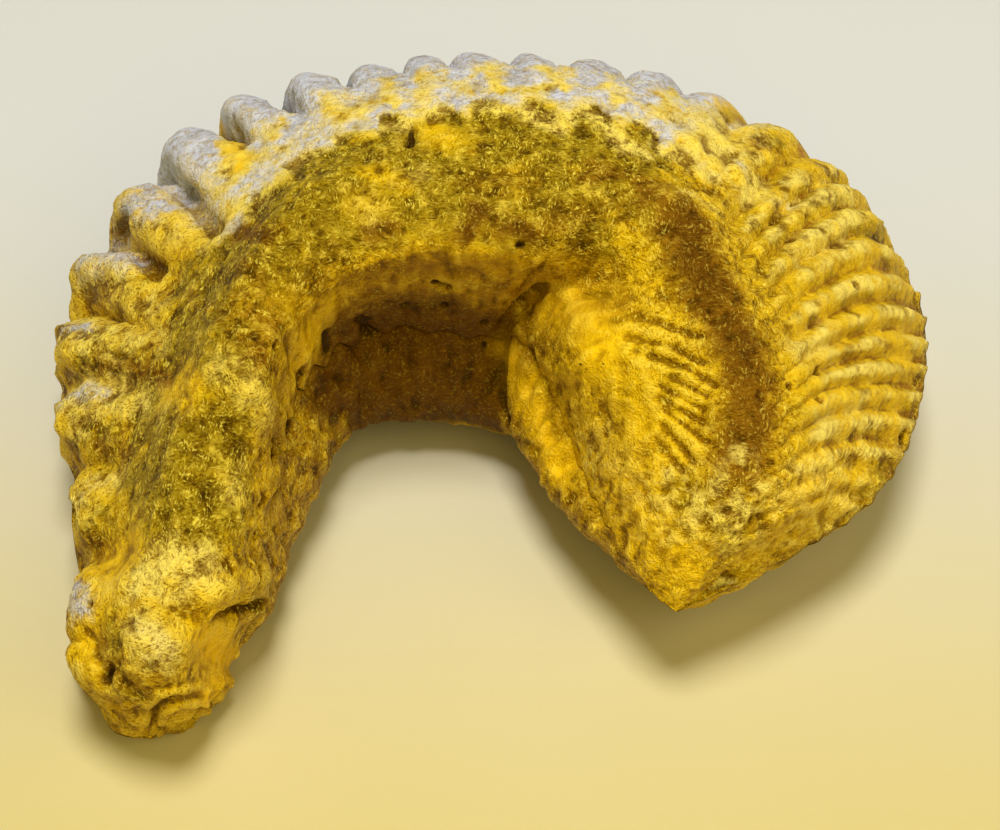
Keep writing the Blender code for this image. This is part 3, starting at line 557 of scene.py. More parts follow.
    ("stain", 0.9, 1.0, [(325, 104), (334, 116)]), ("stain", 0.9, 0.9, [(385, 98), (393, 110)]), ("stain", 0.8, 1.0, [(414, 74), (426, 92)]),
    ("stain", 0.9, 1.0, [(491, 74), (501, 96)]), ("stain", 1.0, 1.2, [(546, 72), (561, 90)]), ("olive", 0.6, 1.0, [(550, 78), (561, 92)]),
    ("stain", 0.9, 1.1, [(604, 80), (616, 104)]), ("olive", 0.7, 1.1, [(604, 82), (615, 102)]), ("stain", 0.9, 1.3, [(654, 94), (674, 104)]),
    ("olive", 0.7, 1.3, [(652, 96), (672, 104)]), ("olive", 0.5, 1.0, [(414, 76), (424, 88)]), ("umber", 0.5, 1.0, [(246, 140), (262, 134)]),
    # painted light: strong yellow strokes on the lower lobe and flank bottom, which face away from the lamps
    ("yellow_and_painted_light", 0.35, 3.2, [(618, 470), (655, 520), (690, 560)]), ("yellow_and_painted_light", 0.25, 3.0, [(760, 540), (830, 505)]),
    ("umber", 0.6, 1.3, [(512, 385), (520, 420)]), ("umber", 0.5, 1.0, [(538, 445), (552, 470)]), ("rust", 0.5, 1.2, [(508, 400), (514, 425)]),
    ("cream", 0.5, 1.2, [(530, 392), (548, 425)]), ("umber", 0.6, 1.0, [(700, 588), (735, 584)]), ("umber", 0.5, 1.4, [(655, 545), (668, 560)]),
    ("umber", 0.5, 1.4, [(708, 540), (730, 556)]), ("cream", 0.5, 1.2, [(660, 528), (690, 532)]),
    # painted shade in the valley between the third and fourth left ribs
    ("umber", 0.8, 1.7, [(96, 362), (130, 366), (165, 376)]), ("dark_brown_and_shade", 0.35, 1.3, [(118, 366), (158, 374)]), ("umber", 0.6, 1.6, [(96, 448), (130, 455)]),
    ("umber", 0.6, 1.5, [(100, 640), (110, 664), (120, 690)]), ("olive", 0.7, 2.2, [(112, 640), (122, 695)]), ("umber", 0.5, 1.4, [(84, 542), (104, 552)]),
    ("olive", 0.6, 2.0, [(180, 300), (205, 312)]), ("umber", 0.5, 1.6, [(190, 300), (215, 318)]),
    # pits
    ("pit", 1.0, 0.36, [(411, 133), (410, 142)]), ("pit", 1.0, 0.41, [(434, 283), (447, 286)]), ("pit", 1.0, 0.34, [(444, 307)]),
    ("pit", 1.0, 0.34, [(404, 306)]), ("pit", 1.0, 0.41, [(483, 322)]), ("pit", 1.0, 0.41, [(485, 347)]),
    ("pit", 1.0, 0.34, [(657, 138)]), ("pit", 1.0, 0.34, [(517, 247), (523, 245)]), ("pit", 0.8, 0.2, [(583, 364)]), ("pit", 0.6, 0.2, [(590, 369)]), ("pit", 0.7, 0.2, [(602, 365)]),
    ("pit", 1.0, 0.61, [(106, 675), (104, 683)]), ("pit", 0.9, 0.34, [(790, 385)]), ("pit", 0.9, 0.27, [(254, 337)]),
    ("pit", 0.9, 0.27, [(273, 348)]), ("pit", 0.9, 0.34, [(857, 285)]), ("pit", 0.8, 0.34, [(790, 240)]),
    ("pit", 0.9, 0.48, [(903, 438)]), ("pit", 0.7, 0.34, [(815, 372)]), ("pit", 0.7, 0.34, [(820, 400)]),
    ("pit", 0.8, 0.41, [(220, 614), (228, 610)]), ("pit", 0.8, 0.34, [(250, 607), (258, 606)]), ("pit", 0.7, 0.34, [(92, 606)]),
    ("pit", 0.9, 0.48, [(330, 338), (330, 352)]), ("pit", 0.9, 0.54, [(368, 318), (362, 330)]), ("pit", 0.8, 0.41, [(303, 374)]),
    ("pit", 0.9, 0.41, [(291, 420), (290, 432)]), ("pit", 0.9, 0.41, [(277, 446), (277, 454)]),
]
PAINT += [
    # the darkest brown: the band's own colour and a few patches of the roof, and painted shade on the lower inner wall,
    # the lobe's crease and the crevices between ribs
    ("dark_brown_and_shade", 1.0, 4.5, [(335, 395), (400, 395), (470, 400)]), ("dark_brown_and_shade", 0.9, 3.5, [(380, 350), (420, 358), (470, 362)]),
    ("dark_brown_and_shade", 0.6, 1.6, [(350, 312), (362, 330), (340, 352), (318, 372), (305, 392)]), ("dark_brown_and_shade", 0.9, 1.4, [(492, 345), (486, 380), (492, 425)]),
    ("dark_brown_and_shade", 0.35, 2.2, [(330, 425), (318, 450), (322, 470)]), ("dark_brown_and_shade", 0.2, 1.6, [(293, 425), (282, 450)]),
    ("dark_brown_and_shade", 0.85, 3.0, [(682, 222), (692, 250), (706, 285)]), ("dark_brown_and_shade", 0.75, 2.8, [(708, 285), (730, 318), (744, 355)]),
    ("dark_brown_and_shade", 0.6, 3.0, [(746, 365), (750, 410), (742, 450)]), ("dark_brown_and_shade", 0.8, 1.2, [(475, 214), (462, 238)]),
    ("dark_brown_and_shade", 0.7, 1.4, [(508, 226), (530, 228)]), ("dark_brown_and_shade", 0.6, 1.3, [(238, 228), (268, 238)]),
    ("dark_brown_and_shade", 0.5, 1.6, [(598, 178), (620, 173)]), ("dark_brown_and_shade", 0.5, 1.2, [(372, 232), (390, 228)]),
    ("dark_brown_and_shade", 0.4, 1.4, [(330, 225), (300, 232)]), ("dark_brown_and_shade", 0.5, 1.6, [(642, 190), (660, 200)]),
    ("dark_brown_and_shade", 0.2, 1.0, [(145, 264), (160, 273)]), ("dark_brown_and_shade", 0.5, 1.0, [(192, 200), (212, 226)]),
    ("dark_brown_and_shade", 0.4, 1.4, [(240, 268), (258, 275)]), ("dark_brown_and_shade", 0.4, 1.8, [(405, 135), (412, 150)]),
    ("dark_brown_and_shade", 0.4, 2.0, [(455, 180), (480, 186)]), ("dark_brown_and_shade", 0.35, 2.0, [(540, 215), (560, 205)]),
]
RELIEF += [
    # ends of the ribs at the left, as they stand out in turn from both valves
    (0.85, 1.8, [(62, 350), (60, 374)]), (0.8, 1.8, [(62, 430), (64, 454)]), (-1.2, 2.4, [(63, 482), (66, 510)]), (-0.5, 0.9, [(57, 388), (66, 388)]),
    (0.75, 1.8, [(76, 280), (77, 316)]), (1.0, 2.0, [(90, 264), (114, 262), (138, 266)]), (-0.35, 1.3, [(59, 332), (62, 342)]),
]


KINDS = ["yellow_and_painted_light", "chalk", "cream", "stain", "olive", "umber", "dark_brown_and_shade", "rust", "band", "smooth", "pit"]


def blur(field, half):
    """Box average over the sheet's grid."""
    for axis in (0, 1):
        pad = [(0, 0), (0, 0)]
        pad[axis] = (half + 1, half)
        total = np.cumsum(np.pad(field, pad, mode="edge"), axis=axis)
        size = field.shape[axis]
        upper = np.take(total, np.arange(size) + 2 * half + 1, axis=axis)
        lower = np.take(total, np.arange(size), axis=axis)
        field = (upper - lower) / (2 * half + 1)
    return field


def dress(sheet):
    """Fine relief, pigment fields, and painted light and shade fields of one valve."""
    side, rings, info, n = sheet["side"], sheet["rings"], sheet["info"], sheet["n"]
    a, r, ribs, p = info["a"], info["run"], info["ribs"], rings
    field = {kind: np.zeros(a.shape) for kind in KINDS}
    ragged = p + 1.1 * np.stack([noise(p, 2.6, 41), noise(p, 2.6, 42), noise(p, 2.6, 43)], -1)
    ragged = ragged + 0.5 * np.stack([noise(p, 1.1, 44), noise(p, 1.1, 45), noise(p, 1.1, 46)], -1)
    for kind, amount, radius, line in PAINT:
        at = p if kind == "pit" else ragged
        field[kind] = np.maximum(field[kind], amount * stroke(at, radius, line))

    painted = field["stain"].copy()
    on_knobs = smooth(r, 67, 72) * (1 - smooth(r, 110, 116)) * (1 - smooth(a, 0.36, 0.46))
    field["stain"] = field["stain"] * (1 - 0.45 * on_knobs)
    painted = painted * (1 - 0.6 * on_knobs)
    arch = smooth(r, 56, 66) * (1 - smooth(r, 110, 118))
    flank = smooth(r, 108, 118) * (1 - smooth(r, 154, 160)) * (1 - smooth(a, 0.40, 0.56))
    inner = smooth(a, 0.72, 0.80) if side > 0 else smooth(a, 0.74, 0.84)
    knob = info["swell"] * arch * (1 - smooth(a, 0.34, 0.46))
    crest = smooth(ribs, -0.2, 0.8)
    rib_zone = info["swell"] * (1 - smooth(a, 0.3, 0.5))
    broad = fbm(p, 9, 3, 21)
    patch = fbm(p, 4, 3, 22)
    flaky = stroke(ragged, 5.2, [(590, 478), (655, 518), (720, 512), (790, 515), (845, 490)]) if side > 0 else np.zeros(a.shape)
    flakes = ridged(p, 2.6, 3, 71) - 0.5
    if side > 0:
        turn = info["phase"] - np.floor(info["phase"] + 0.5)
        knobs = arch * (1 - smooth(a + 0.03 * patch, 0.24, 0.36)) * (1 - 0.8 * smooth(r, 104, 111))
        # painted light: each knob's right-hand side gets less chalk and more yellow and olive, as if lit warm from the
        # right
        right = smooth(turn + 0.1 * patch, 0.06, 0.26) * (1 - smooth(turn, 0.36, 0.5)) * smooth(a, 0.15, 0.26)
        field["chalk"] = np.maximum(field["chalk"], knobs * (1.9 + 0.7 * patch) * (1 - 0.5 * right))
        field["chalk"] = field["chalk"] * mix(1, 0.62 + 0.9 * np.clip(patch + 0.3, 0, 1), 1 - smooth(a + 0.04 * broad, 0.05, 0.15))
        field["stain"] = np.maximum(field["stain"], arch * (1 - smooth(a, 0.06, 0.15)) * (0.18 - 1.2 * patch))
        collar = arch * smooth(a, 0.20, 0.30) * (1 - smooth(a + 0.02 * ribs + 0.05 * patch, 0.44, 0.475))
        field["cream"] = np.maximum(field["cream"], np.maximum(collar * (0.95 + 0.7 * patch), knobs * (0.8 + 0.2 * right + 0.5 * patch)))
        field["cream"] = np.maximum(field["cream"], knobs * smooth(-ribs, 0.1, 0.8) * (0.9 + patch))
        field["stain"] = np.maximum(field["stain"], knobs * right * (0.35 + 1.3 * patch))
        field["olive"] = np.maximum(field["olive"], knobs * right * (0.35 - patch))
        field["chalk"] = np.maximum(field["chalk"], collar * (0.62 + 1.3 * patch) * (1 - 0.7 * smooth(r, 104, 111)))
        field["stain"] = np.maximum(field["stain"], collar * (0.10 - 1.2 * patch))
        field["umber"] = np.maximum(field["umber"], collar * (0.05 - 1.6 * patch))
        sheet["step"] = arch * (1 - smooth(a + 0.02 * ribs + 0.08 * patch + 0.02 * noise(p, 1.5, 51), 0.45, 0.475))
        # partly painted light and shade on the flank ribs: paler cream on the crests, less on each rib's lower side,
        # umber in the valleys
        shaded_lower_side = smooth(turn, 0.05, 0.3)
        field["cream"] = np.maximum(field["cream"], flank * smooth(ribs, -0.1, 0.9) * (0.50 + 1.1 * patch) - 0.2 * shaded_lower_side)
        field["umber"] = np.maximum(field["umber"], flank * smooth(-ribs, -0.2, 0.8) * (0.68 + 1.2 * patch))
        field["chalk"] = np.maximum(field["chalk"], 0.22 * rib_zone * smooth(ribs, 0.3, 1) * (1 - arch) * (1 - flank) * (1 - smooth(a, 0.12, 0.26)) * (1 + 1.5 * patch))
        field["stain"] = np.maximum(field["stain"], 0.35 * rib_zone * (1 - arch) * smooth(-ribs, 0.2, 0.9) * (1 + patch))
        field["cream"] = np.maximum(field["cream"], 0.55 * rib_zone * (1 - arch) * (1 - flank) * smooth(ribs, 0.0, 0.9) * (0.8 + 1.6 * patch))
        field["smooth"] = np.maximum(field["smooth"], 0.72 * flank * smooth(a, 0.0, 0.1) * (1 - 0.45 * smooth(r, 141, 148)) * (0.62 + 0.38 * smooth(r, 122, 132)))
        field["olive"] = np.maximum(field["olive"], flank * (0.30 + 0.7 * patch) * (1 - smooth(r, 141, 148)))
        field["umber"] = np.maximum(field["umber"], 0.62 * inner * arch * (1 + 0.8 * patch))
        roof = smooth(a, 0.36, 0.46) * (1 - smooth(a, 0.70, 0.78)) * smooth(r, 22, 34) * (1 - smooth(r, 104, 112))
        field["olive"] = np.maximum(field["olive"], smooth(broad, -0.1, 0.35) * (1 - inner) * (1 - knob) * mix(0.25, 0.75, roof))
        field["olive"] = np.maximum(field["olive"], roof * (0.85 + 0.8 * patch))
        field["stain"] = np.maximum(field["stain"], 0.35 * smooth(r, 100, 112) * smooth(a, 0.66, 0.74) * (1 + broad))
        field["cream"] = np.maximum(field["cream"], 0.65 * flaky * smooth(flakes, 0.02, 0.22))
        field["umber"] = np.maximum(field["umber"], 0.75 * flaky * smooth(-flakes, 0.06, 0.26))
        wall = smooth(a, 0.74, 0.86) * smooth(r, 40, 50) * (1 - smooth(r, 96, 104))
        field["smooth"] = np.maximum(field["smooth"], np.maximum(np.maximum(knob * 0.72, 0.45 * collar), wall * 0.5))
    else:
        field["umber"] = np.maximum(field["umber"], inner * arch * (0.8 + 0.4 * patch))
        field["umber"] = np.maximum(field["umber"], 0.5 * inner * (1 + patch))
        field["smooth"] = np.maximum(field["smooth"], 0.45 * inner * smooth(r, 44, 52) * (1 - smooth(r, 98, 104)))
        field["stain"] = np.maximum(field["stain"], 0.5 * rib_zone * (1 + patch))
        field["chalk"] = np.maximum(field["chalk"], 0.5 * rib_zone * smooth(ribs, 0.2, 1) * (0.7 + patch))
        field["chalk"] = np.maximum(field["chalk"], arch * (1 - smooth(a, 0.12, 0.36)) * (0.35 + 2.0 * patch + 0.8 * broad))
        field["olive"] = np.maximum(field["olive"], smooth(broad, -0.2, 0.3) * 0.7)
        field["smooth"] = np.maximum(field["smooth"], 0.4 * rib_zone)
    field["chalk"] = field["chalk"] * (1 - 0.9 * smooth(painted, 0.0, 0.6))
    field["cream"] = field["cream"] * (1 - 0.6 * painted)
    # painted shade: the lowest part of the inner wall, under the arch, gets the darkest brown
    if side > 0:
        low = inner * smooth(r, 50, 60) * (1 - smooth(r, 96, 101)) * smooth(a, 0.86, 0.97)
    else:
        low = inner * smooth(r, 42, 56) * (1 - smooth(r, 98, 106)) * 0.95
    field["dark_brown_and_shade"] = np.maximum(field["dark_brown_and_shade"], low)
    field["smooth"] = np.maximum(field["smooth"], 0.25 * field["band"])
    field["smooth"] = np.maximum(field["smooth"], 0.75 * field["stain"] * (1 - 0.5 * smooth(a, 0.45, 0.6)))
    felt = np.clip(1 - field["smooth"], 0.1, 1)

    # relief
    edge = smooth(a, 0.0, 0.03) * smooth(1 - a, 0.0, 0.03)
    near, second = cells(p, 1.5, 3)
    nodes = np.clip(1 - near * 1.25, 0, 1)
    lumps = 0.50 * fbm(p, 7.0, 2, 1) + 0.36 * fbm(p, 2.6, 3, 2) * mix(0.62, 1, felt)
    arm = smooth(r, 10, 20) * (1 - smooth(r, 50, 60))
    lumps = lumps + 0.14 * noise(p, 3.2, 61) * flank + 0.2 * noise(p, 2.3, 63) * flank * (smooth(r, 140, 148) + 0.9 * (1 - smooth(r, 122, 132))) + (0.22 * arch + 0.40 * arm) * noise(p, 3.4, 62) * (1 - smooth(a, 0.4, 0.5))
    lumps = lumps + 0.32 * flaky * flakes
    stalks = noise(p * np.array([1, 1, 0.3]), 1.2, 8) * inner
    grain = felt * (0.20 * (nodes - 0.35) + 0.20 * fbm(p, 1.0, 2, 4) + 0.16 * (ridged(p, 1.5, 2, 6) - 0.5))
    beads, _ = cells(p, 1.25, 13)
    grain = grain + flank * 0.12 * (np.clip(1 - beads * 1.3, 0, 1) - 0.3) + 0.30 * stalks
    lines = np.sin(2 * math.pi * (a + 0.012 * ribs + 0.005 * patch) / 0.021) * 0.06 * rib_zone * (0.6 + patch)
    fine = grain + lines
    relief = (lumps + fine) * edge + 0.42 * sheet.get("step", 0)
    cut = np.zeros(a.shape)
    for height, radius, line in RELIEF:
        shape = height * stroke(p, radius, line)
        cut = cut + (shape * edge if height > 0 else shape)
    out = p + n * (relief + cut)[:, :, None]
    # painted shade and highlight: height above or below the blurred relief, later used to darken hollows and lighten
    # tops
    high = relief + cut - blur(relief + cut, 5)
    field["hollow_shade"] = np.clip(0.5 + high / 0.5, 0, 1)
    field["felt"] = felt
    field["crest"] = crest * rib_zone
    return out, field


def close_valve(name, rings, join_rows, side, masks):
    """Join the sheet's two edges across the zigzag and close the ends to single points."""
    outer, inner = rings[0], rings[-1]
    share = np.linspace(1, 0, join_rows + 2)[1:-1, None, None]
    rings = np.concatenate([rings, outer + (inner - outer) * share])
    rows = len(rings) - join_rows
    on_join = np.r_[0, rows - 1:len(rings)]
    rings[on_join, :, 2] += side * 0.5 * JOIN_GAP
    around, columns = rings.shape[:2]
    count = columns - 2
    ends = [np.array(TIP, float), np.array(BEAK, float)]
    for end in ends:
        end[2] += side * 0.5 * JOIN_GAP
    points = np.concatenate([rings[:, 1:-1].reshape(-1, 3), ends])
    points[:, 2] = np.maximum(points[:, 2], 0)
    points -= np.array([CENTRE[0], CENTRE[1], 0])
    tip, beak = around * count, around * count + 1
    i, k = np.meshgrid(np.arange(around), np.arange(count - 1), indexing="ij")
    j = (i + 1) % around
    quads = np.stack([i * count + k, i * count + k + 1, j * count + k + 1, j * count + k], -1).reshape(-1, 4)
    i = np.arange(around)
    j = (i + 1) % around
    ends = np.concatenate([np.stack([i * 0 + tip, i * count, j * count], -1),
                           np.stack([i * count + count - 1, i * 0 + beak, j * count + count - 1], -1)])
    if side > 0:
        quads, ends = quads[:, ::-1], ends[:, ::-1]
    mesh = bpy.data.meshes.new(name)
    mesh.vertices.add(len(points))
    mesh.vertices.foreach_set("co", (points * MM).ravel())
    corners = np.concatenate([quads.ravel(), ends.ravel()])
    mesh.loops.add(len(corners))
    mesh.loops.foreach_set("vertex_index", corners)
    starts = np.concatenate([np.arange(len(quads)) * 4, len(quads) * 4 + np.arange(len(ends)) * 3])
    mesh.polygons.add(len(quads) + len(ends))
    mesh.polygons.foreach_set("loop_start", starts)
    mesh.update(calc_edges=True)
    mesh.validate()
    mesh.shade_smooth()
    for key, values in masks.items():
        full = np.concatenate([values, np.repeat(values[-1:], join_rows, axis=0)])[:, 1:-1].ravel()
        full = np.concatenate([full, [full[0], full[count - 1]]])
        layer = mesh.attributes.new(key, "FLOAT", "POINT")
        layer.data.foreach_set("value", full.astype(np.float32))
    obj = bpy.data.objects.new(name, mesh)
    bpy.context.scene.collection.objects.link(obj)
    return obj


# ---------------------------------------------------------------- materials
class Web:
    """Short words for building a node tree."""

    def __init__(self, name):
        self.material = bpy.data.materials.new(name)
        self.material.use_nodes = True
        self.tree = self.material.node_tree
        self.shader = self.tree.nodes["Principled BSDF"]
        coords = self.tree.nodes.new("ShaderNodeTexCoord").outputs["Object"]
        self.mm = self.vector("SCALE", coords, scale=1000.0)

    def put(self, socket, value):
        if isinstance(value, bpy.types.NodeSocket):
            self.tree.links.new(value, socket)
        elif isinstance(value, (tuple, list)) and len(value) == 3 and socket.type == "RGBA":
            socket.default_value = (*value, 1)
        else:
            socket.default_value = value

    def vector(self, operation, a, b=None, scale=None):
        node = self.tree.nodes.new("ShaderNodeVectorMath")
        node.operation = operation
        self.put(node.inputs[0], a)
        if b is not None:
            self.put(node.inputs[1], b)
        if scale is not None:
            self.put(node.inputs["Scale"], scale)
        return node.outputs[0]

    def turned(self, vector, angle, scale):
        node = self.tree.nodes.new("ShaderNodeMapping")
        self.put(node.inputs["Vector"], vector)
        node.inputs["Rotation"].default_value = (0, 0, angle)
        node.inputs["Scale"].default_value = scale
        return node.outputs[0]

    def math(self, operation, a, b=0.0, clamp=False):
        node = self.tree.nodes.new("ShaderNodeMath")
        node.operation, node.use_clamp = operation, clamp
        self.put(node.inputs[0], a)
        self.put(node.inputs[1], b)
        return node.outputs[0]

    def attribute(self, name):
        node = self.tree.nodes.new("ShaderNodeAttribute")
        node.attribute_name = name
        return node.outputs["Fac"]

    def noise(self, size, detail=2.0, rough=0.5, bend=0.0, where=None, colour=False):
        node = self.tree.nodes.new("ShaderNodeTexNoise")
        self.put(node.inputs["Vector"], where if where is not None else self.mm)
        self.put(node.inputs["Scale"], 1.0 / size)
        self.put(node.inputs["Detail"], detail)
        self.put(node.inputs["Roughness"], rough)
        self.put(node.inputs["Distortion"], bend)
        return node.outputs["Color" if colour else 0]

    def cell(self, size, where=None, output="Distance", feature="F1"):
        node = self.tree.nodes.new("ShaderNodeTexVoronoi")
        node.feature = feature
        self.put(node.inputs["Vector"], where if where is not None else self.mm)
        self.put(node.inputs["Scale"], 1.0 / size)
        return node.outputs[output]

    def ramp(self, value, low, high, out_low=0.0, out_high=1.0):
        node = self.tree.nodes.new("ShaderNodeMapRange")
        node.interpolation_type = "SMOOTHSTEP"
        for socket, item in zip(node.inputs, (value, low, high, out_low, out_high)):
            self.put(socket, item)
        return node.outputs[0]

    def mix(self, share, a, b, blend="MIX"):
        node = self.tree.nodes.new("ShaderNodeMix")
        node.data_type, node.blend_type = "RGBA", blend
        self.put(node.inputs["Factor"], share)
        self.put(node.inputs[6], a)
        self.put(node.inputs[7], b)
        return node.outputs[2]

    def strands(self, size, width, where):
        """Thin winding lines: near 1 where a noise field crosses its middle."""
        field = self.noise(size, 1.0, 0.4, 0.6, where)
        distance = self.math("ABSOLUTE", self.math("SUBTRACT", field, 0.5))
        return self.ramp(distance, 0.0, width, 1.0, 0.0)


def shell_material(name):
    w = Web(name)
    chalk, cream, stain, olive, umber, dark_brown_and_shade, rust, pit, felt, hollow_shade, yellow_and_painted_light = [
        w.attribute(k) for k in ("chalk", "cream", "stain", "olive", "umber", "dark_brown_and_shade", "rust", "pit", "felt", "hollow_shade", "yellow_and_painted_light")]
    warp = w.vector("SCALE", w.vector("SUBTRACT", w.noise(2.4, 1.0, 0.5, 0.0, None, True), (0.5, 0.5, 0.5)), scale=1.7)
    bent = w.vector("ADD", w.mm, warp)
    middle = w.math("SUBTRACT", w.noise(2.2, 3.0, 0.6), 0.5)
    small = w.math("SUBTRACT", w.noise(0.85, 4.0, 0.65, 0.3), 0.5)
    tiny = w.math("SUBTRACT", w.noise(0.28, 2.0, 0.6), 0.5)
    one = w.turned(bent, 0.65, (1.0, 0.45, 0.85))
    two = w.turned(bent, -0.5, (0.45, 1.0, 0.85))
    way = w.ramp(w.noise(1.7, 1.0), 0.46, 0.54)
    dash = w.math("ADD", w.math("MULTIPLY", w.noise(0.25, 2.5, 0.62, 0.0, one), way),
                  w.math("MULTIPLY", w.noise(0.25, 2.5, 0.62, 0.0, two), w.math("SUBTRACT", 1.0, way)))
    dash = w.math("ADD", w.math("MULTIPLY", dash, 0.72), w.math("MULTIPLY", w.noise(0.62, 3.0, 0.7, 0.4), 0.28))
    tuft = w.ramp(w.noise(1.7, 2.0, 0.6, 0.4), 0.40, 0.60, 0.30, 1.0)
    tuft = w.math("MULTIPLY", tuft, w.ramp(dark_brown_and_shade, 0.0, 1.0, 1.0, 0.45))
    fleck = w.math("MULTIPLY", w.math("MULTIPLY", w.ramp(dash, 0.53, 0.60), felt), tuft)
    gap = w.math("MULTIPLY", w.ramp(dash, 0.48, 0.39), felt)

    def spread(field, amount):
        """Break up a field's edges without letting it appear where it is 0."""
        ragged = w.math("MULTIPLY", w.math("ADD", small, middle), amount)
        return w.math("MULTIPLY", field, w.math("ADD", ragged, 1.0))

    ochre, olives, yellow, browns = (0.62, 0.385, 0.006), (0.26, 0.168, 0.004), (0.74, 0.46, 0.004), (0.24, 0.105, 0.003)
    c = w.mix(w.ramp(w.math("ADD", olive, w.math("MULTIPLY", middle, 1.5)), 0.05, 0.85), ochre, olives)
    c = w.mix(w.ramp(w.math("ADD", rust, w.math("MULTIPLY", middle, 0.8)), 0.2, 0.9), c, (0.42, 0.175, 0.004))
    c = w.mix(w.ramp(w.math("ADD", stain, w.math("MULTIPLY", middle, 0.9)), 0.05, 0.95), c, yellow)
    c = w.mix(w.ramp(w.math("ADD", umber, w.math("MULTIPLY", middle, 0.8)), 0.1, 0.9), c, browns)
    # darkest brown: the band's own colour, and painted shade where the inner wall, creases and crevices lie in shade
    c = w.mix(w.ramp(spread(dark_brown_and_shade, 0.9), 0.1, 0.95), c, (0.105, 0.036, 0.0012))
    c = w.mix(w.ramp(spread(cream, 2.2), 0.1, 0.9), c, (0.72, 0.56, 0.10))
    grey = w.mix(w.ramp(w.noise(0.9, 3.0, 0.6, 0.3), 0.38, 0.56), (0.38, 0.345, 0.30), (0.49, 0.505, 0.56))
    c = w.mix(w.ramp(spread(chalk, 1.8), 0.1, 0.95), c, grey)
    # dirt in the hollows, bare worn tops
    # random darker blots, painted shade in the hollows and a painted highlight on the raised tops
    depth = w.math("ADD", hollow_shade, w.math("MULTIPLY", small, w.math("MULTIPLY", felt, 1.0)))
    blot = w.math("MULTIPLY", w.ramp(w.noise(2.6, 5.0, 0.68, 0.5), 0.52, 0.38), felt)
    clean = w.ramp(chalk, 0.1, 0.8, 1.0, 0.35)
    c = w.mix(w.math("MULTIPLY", w.math("MULTIPLY", blot, 0.62), clean), c, w.mix(1.0, c, (0.36, 0.23, 0.10), "MULTIPLY"))
    c = w.mix(w.math("MULTIPLY", w.ramp(depth, 0.10, 0.48, 0.85, 0.0), clean), c, w.mix(1.0, c, (0.26, 0.16, 0.07), "MULTIPLY"))
    # painted highlight: the raised tops turn paler yellow
    top_highlight = w.math("MULTIPLY", w.math("MULTIPLY", w.ramp(depth, 0.55, 0.95), clean), w.math("MULTIPLY", w.ramp(dark_brown_and_shade, 0.0, 0.8, 0.45, 0.03), w.ramp(umber, 0.3, 1.0, 1.0, 0.4)))
    c = w.mix(top_highlight, c, (0.86, 0.62, 0.05))
    c = w.mix(w.math("MULTIPLY", gap, 0.75), c, w.mix(1.0, c, (0.28, 0.17, 0.07), "MULTIPLY"))
    c = w.mix(w.math("MULTIPLY", fleck, 0.75), c, w.mix(0.7, c, (0.93, 0.76, 0.09)))
    # partly painted light: strong yellow strokes, several of them on faces that the lamps leave dim
    c = w.mix(w.math("MULTIPLY", yellow_and_painted_light, 0.75), c, (0.86, 0.52, 0.004))
    c = w.mix(w.ramp(pit, 0.25, 0.65), c, (0.030, 0.010, 0.002))
    w.put(w.shader.inputs["Base Color"], c)
    rough = w.math("ADD", w.math("MULTIPLY", fleck, -0.14), w.math("ADD", w.math("MULTIPLY", small, 0.35), 0.56))
    w.put(w.shader.inputs["Roughness"], rough)
    height = w.math("ADD", w.math("MULTIPLY", small, w.math("ADD", w.math("MULTIPLY", felt, 0.6), 0.15)),
                    w.math("ADD", w.math("MULTIPLY", dash, w.math("MULTIPLY", felt, 1.0)), w.math("MULTIPLY", tiny, w.math("ADD", w.math("MULTIPLY", felt, 0.25), 0.10))))
    bump = w.tree.nodes.new("ShaderNodeBump")
    bump.inputs["Strength"].default_value = 1.0
    bump.inputs["Distance"].default_value = 0.00045
    w.put(bump.inputs["Height"], height)
    w.put(w.shader.inputs["Normal"], bump.outputs[0])
    w.shader.inputs["Specular IOR Level"].default_value = 0.35
    w.shader.inputs["Specular Tint"].default_value = (1.0, 0.72, 0.04, 1)
    return w.material


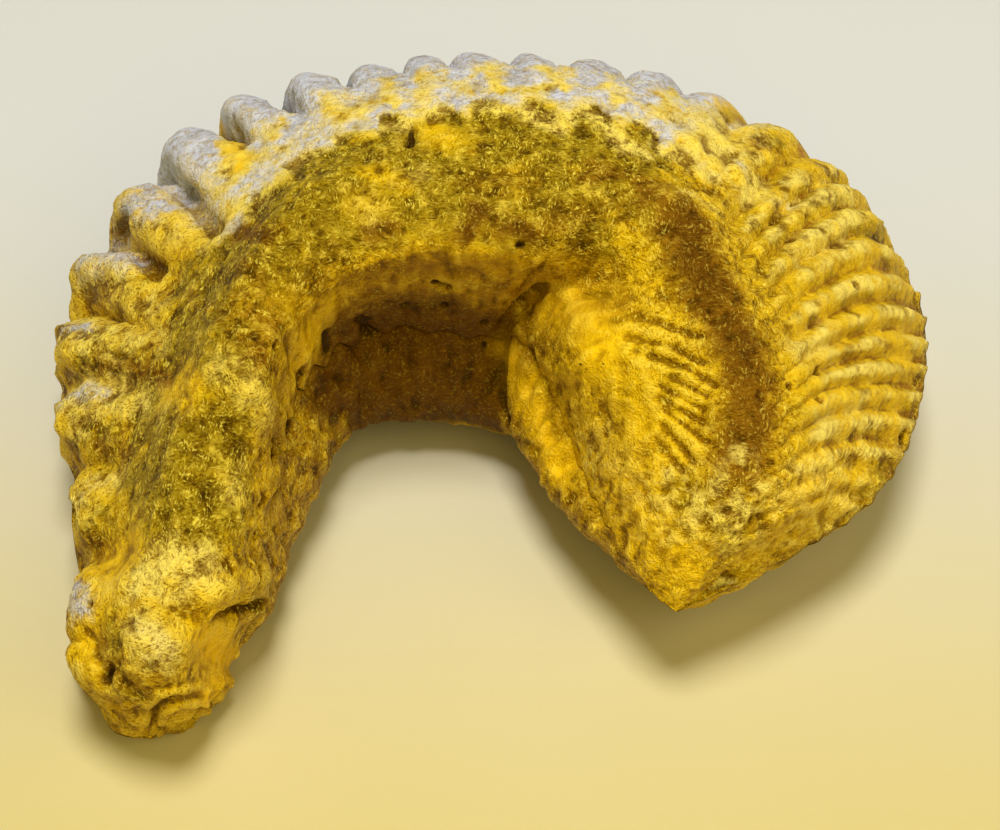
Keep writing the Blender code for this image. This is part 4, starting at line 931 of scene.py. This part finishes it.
def floor_material():
    w = Web("pale table top")
    near = w.ramp(w.noise(40.0, 2.0), 0.3, 0.7)
    axis = w.tree.nodes.new("ShaderNodeSeparateXYZ")
    w.put(axis.inputs[0], w.mm)
    # darker and yellower towards the front: partly painted shade on the floor
    front = w.ramp(axis.outputs["Y"], 60.0, -70.0)
    c = w.mix(front, (0.525, 0.53, 0.49), (0.495, 0.4, 0.105))
    c = w.mix(w.math("MULTIPLY", near, 0.03), c, (0.7, 0.66, 0.5))
    w.put(w.shader.inputs["Base Color"], c)
    w.put(w.shader.inputs["Roughness"], w.ramp(w.noise(0.8, 3.0), 0.2, 0.8, 0.5, 0.62))
    return w.material


SHELL = shell_material("fossil shell")
for name, sheet in SHEETS.items():
    rings, masks = dress(sheet)
    piece = close_valve(name + "_shell", rings, 4, sheet["side"], masks)
    piece.data.materials.append(SHELL)
    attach(piece, "root")
    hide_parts(name + "_valve")

# ---------------------------------------------------------------- floor, light, camera
bpy.ops.mesh.primitive_plane_add(size=4, location=(0, 0, 0))
floor = bpy.context.object
floor.name = "floor"
floor.data.materials.append(floor_material())


def lamp(name, where, aim, size, watts, colour):
    light = bpy.data.lights.new(name, "AREA")
    light.shape, light.size, light.energy, light.color = "DISK", size, watts, colour
    obj = bpy.data.objects.new(name, light)
    bpy.context.scene.collection.objects.link(obj)
    obj.location = where
    obj.rotation_euler = (Vector(aim) - Vector(where)).to_track_quat("-Z", "Y").to_euler()


lamp("overhead", (-0.01, 0.03, 0.80), (0, 0, 0), 0.30, 7.0, (0.97, 0.96, 1.0))
lamp("front fill", (0.26, -0.46, 0.50), (0, 0, 0.01), 0.9, 3.1, (1.0, 0.88, 0.40))
lamp("side fill", (-0.45, -0.30, 0.32), (0.02, -0.01, 0.01), 0.5, 0.8, (1.0, 0.88, 0.40))
lamp("right fill", (0.50, -0.12, 0.34), (0.02, -0.01, 0.01), 0.5, 0.6, (0.95, 0.96, 1.0))
world = bpy.data.worlds.new("soft room")
bpy.context.scene.world = world
world.use_nodes = True
world.node_tree.nodes["Background"].inputs[0].default_value = (1.0, 0.88, 0.55, 1)
world.node_tree.nodes["Background"].inputs[1].default_value = 0.055
bpy.context.scene.view_settings.view_transform = "Standard"

lens = bpy.data.cameras.new("camera")
camera = bpy.data.objects.new("camera", lens)
bpy.context.scene.collection.objects.link(camera)
camera.location = ((EYE[0] - CENTRE[0]) * MM, (EYE[1] - CENTRE[1]) * MM, EYE[2] * MM)
camera.rotation_euler = (math.pi / 2 - VIEW_UP, 0, 0)
lens.sensor_width = 36
lens.lens = VIEW_F / 1000 * 36
lens.clip_start = 0.01
bpy.context.scene.camera = camera
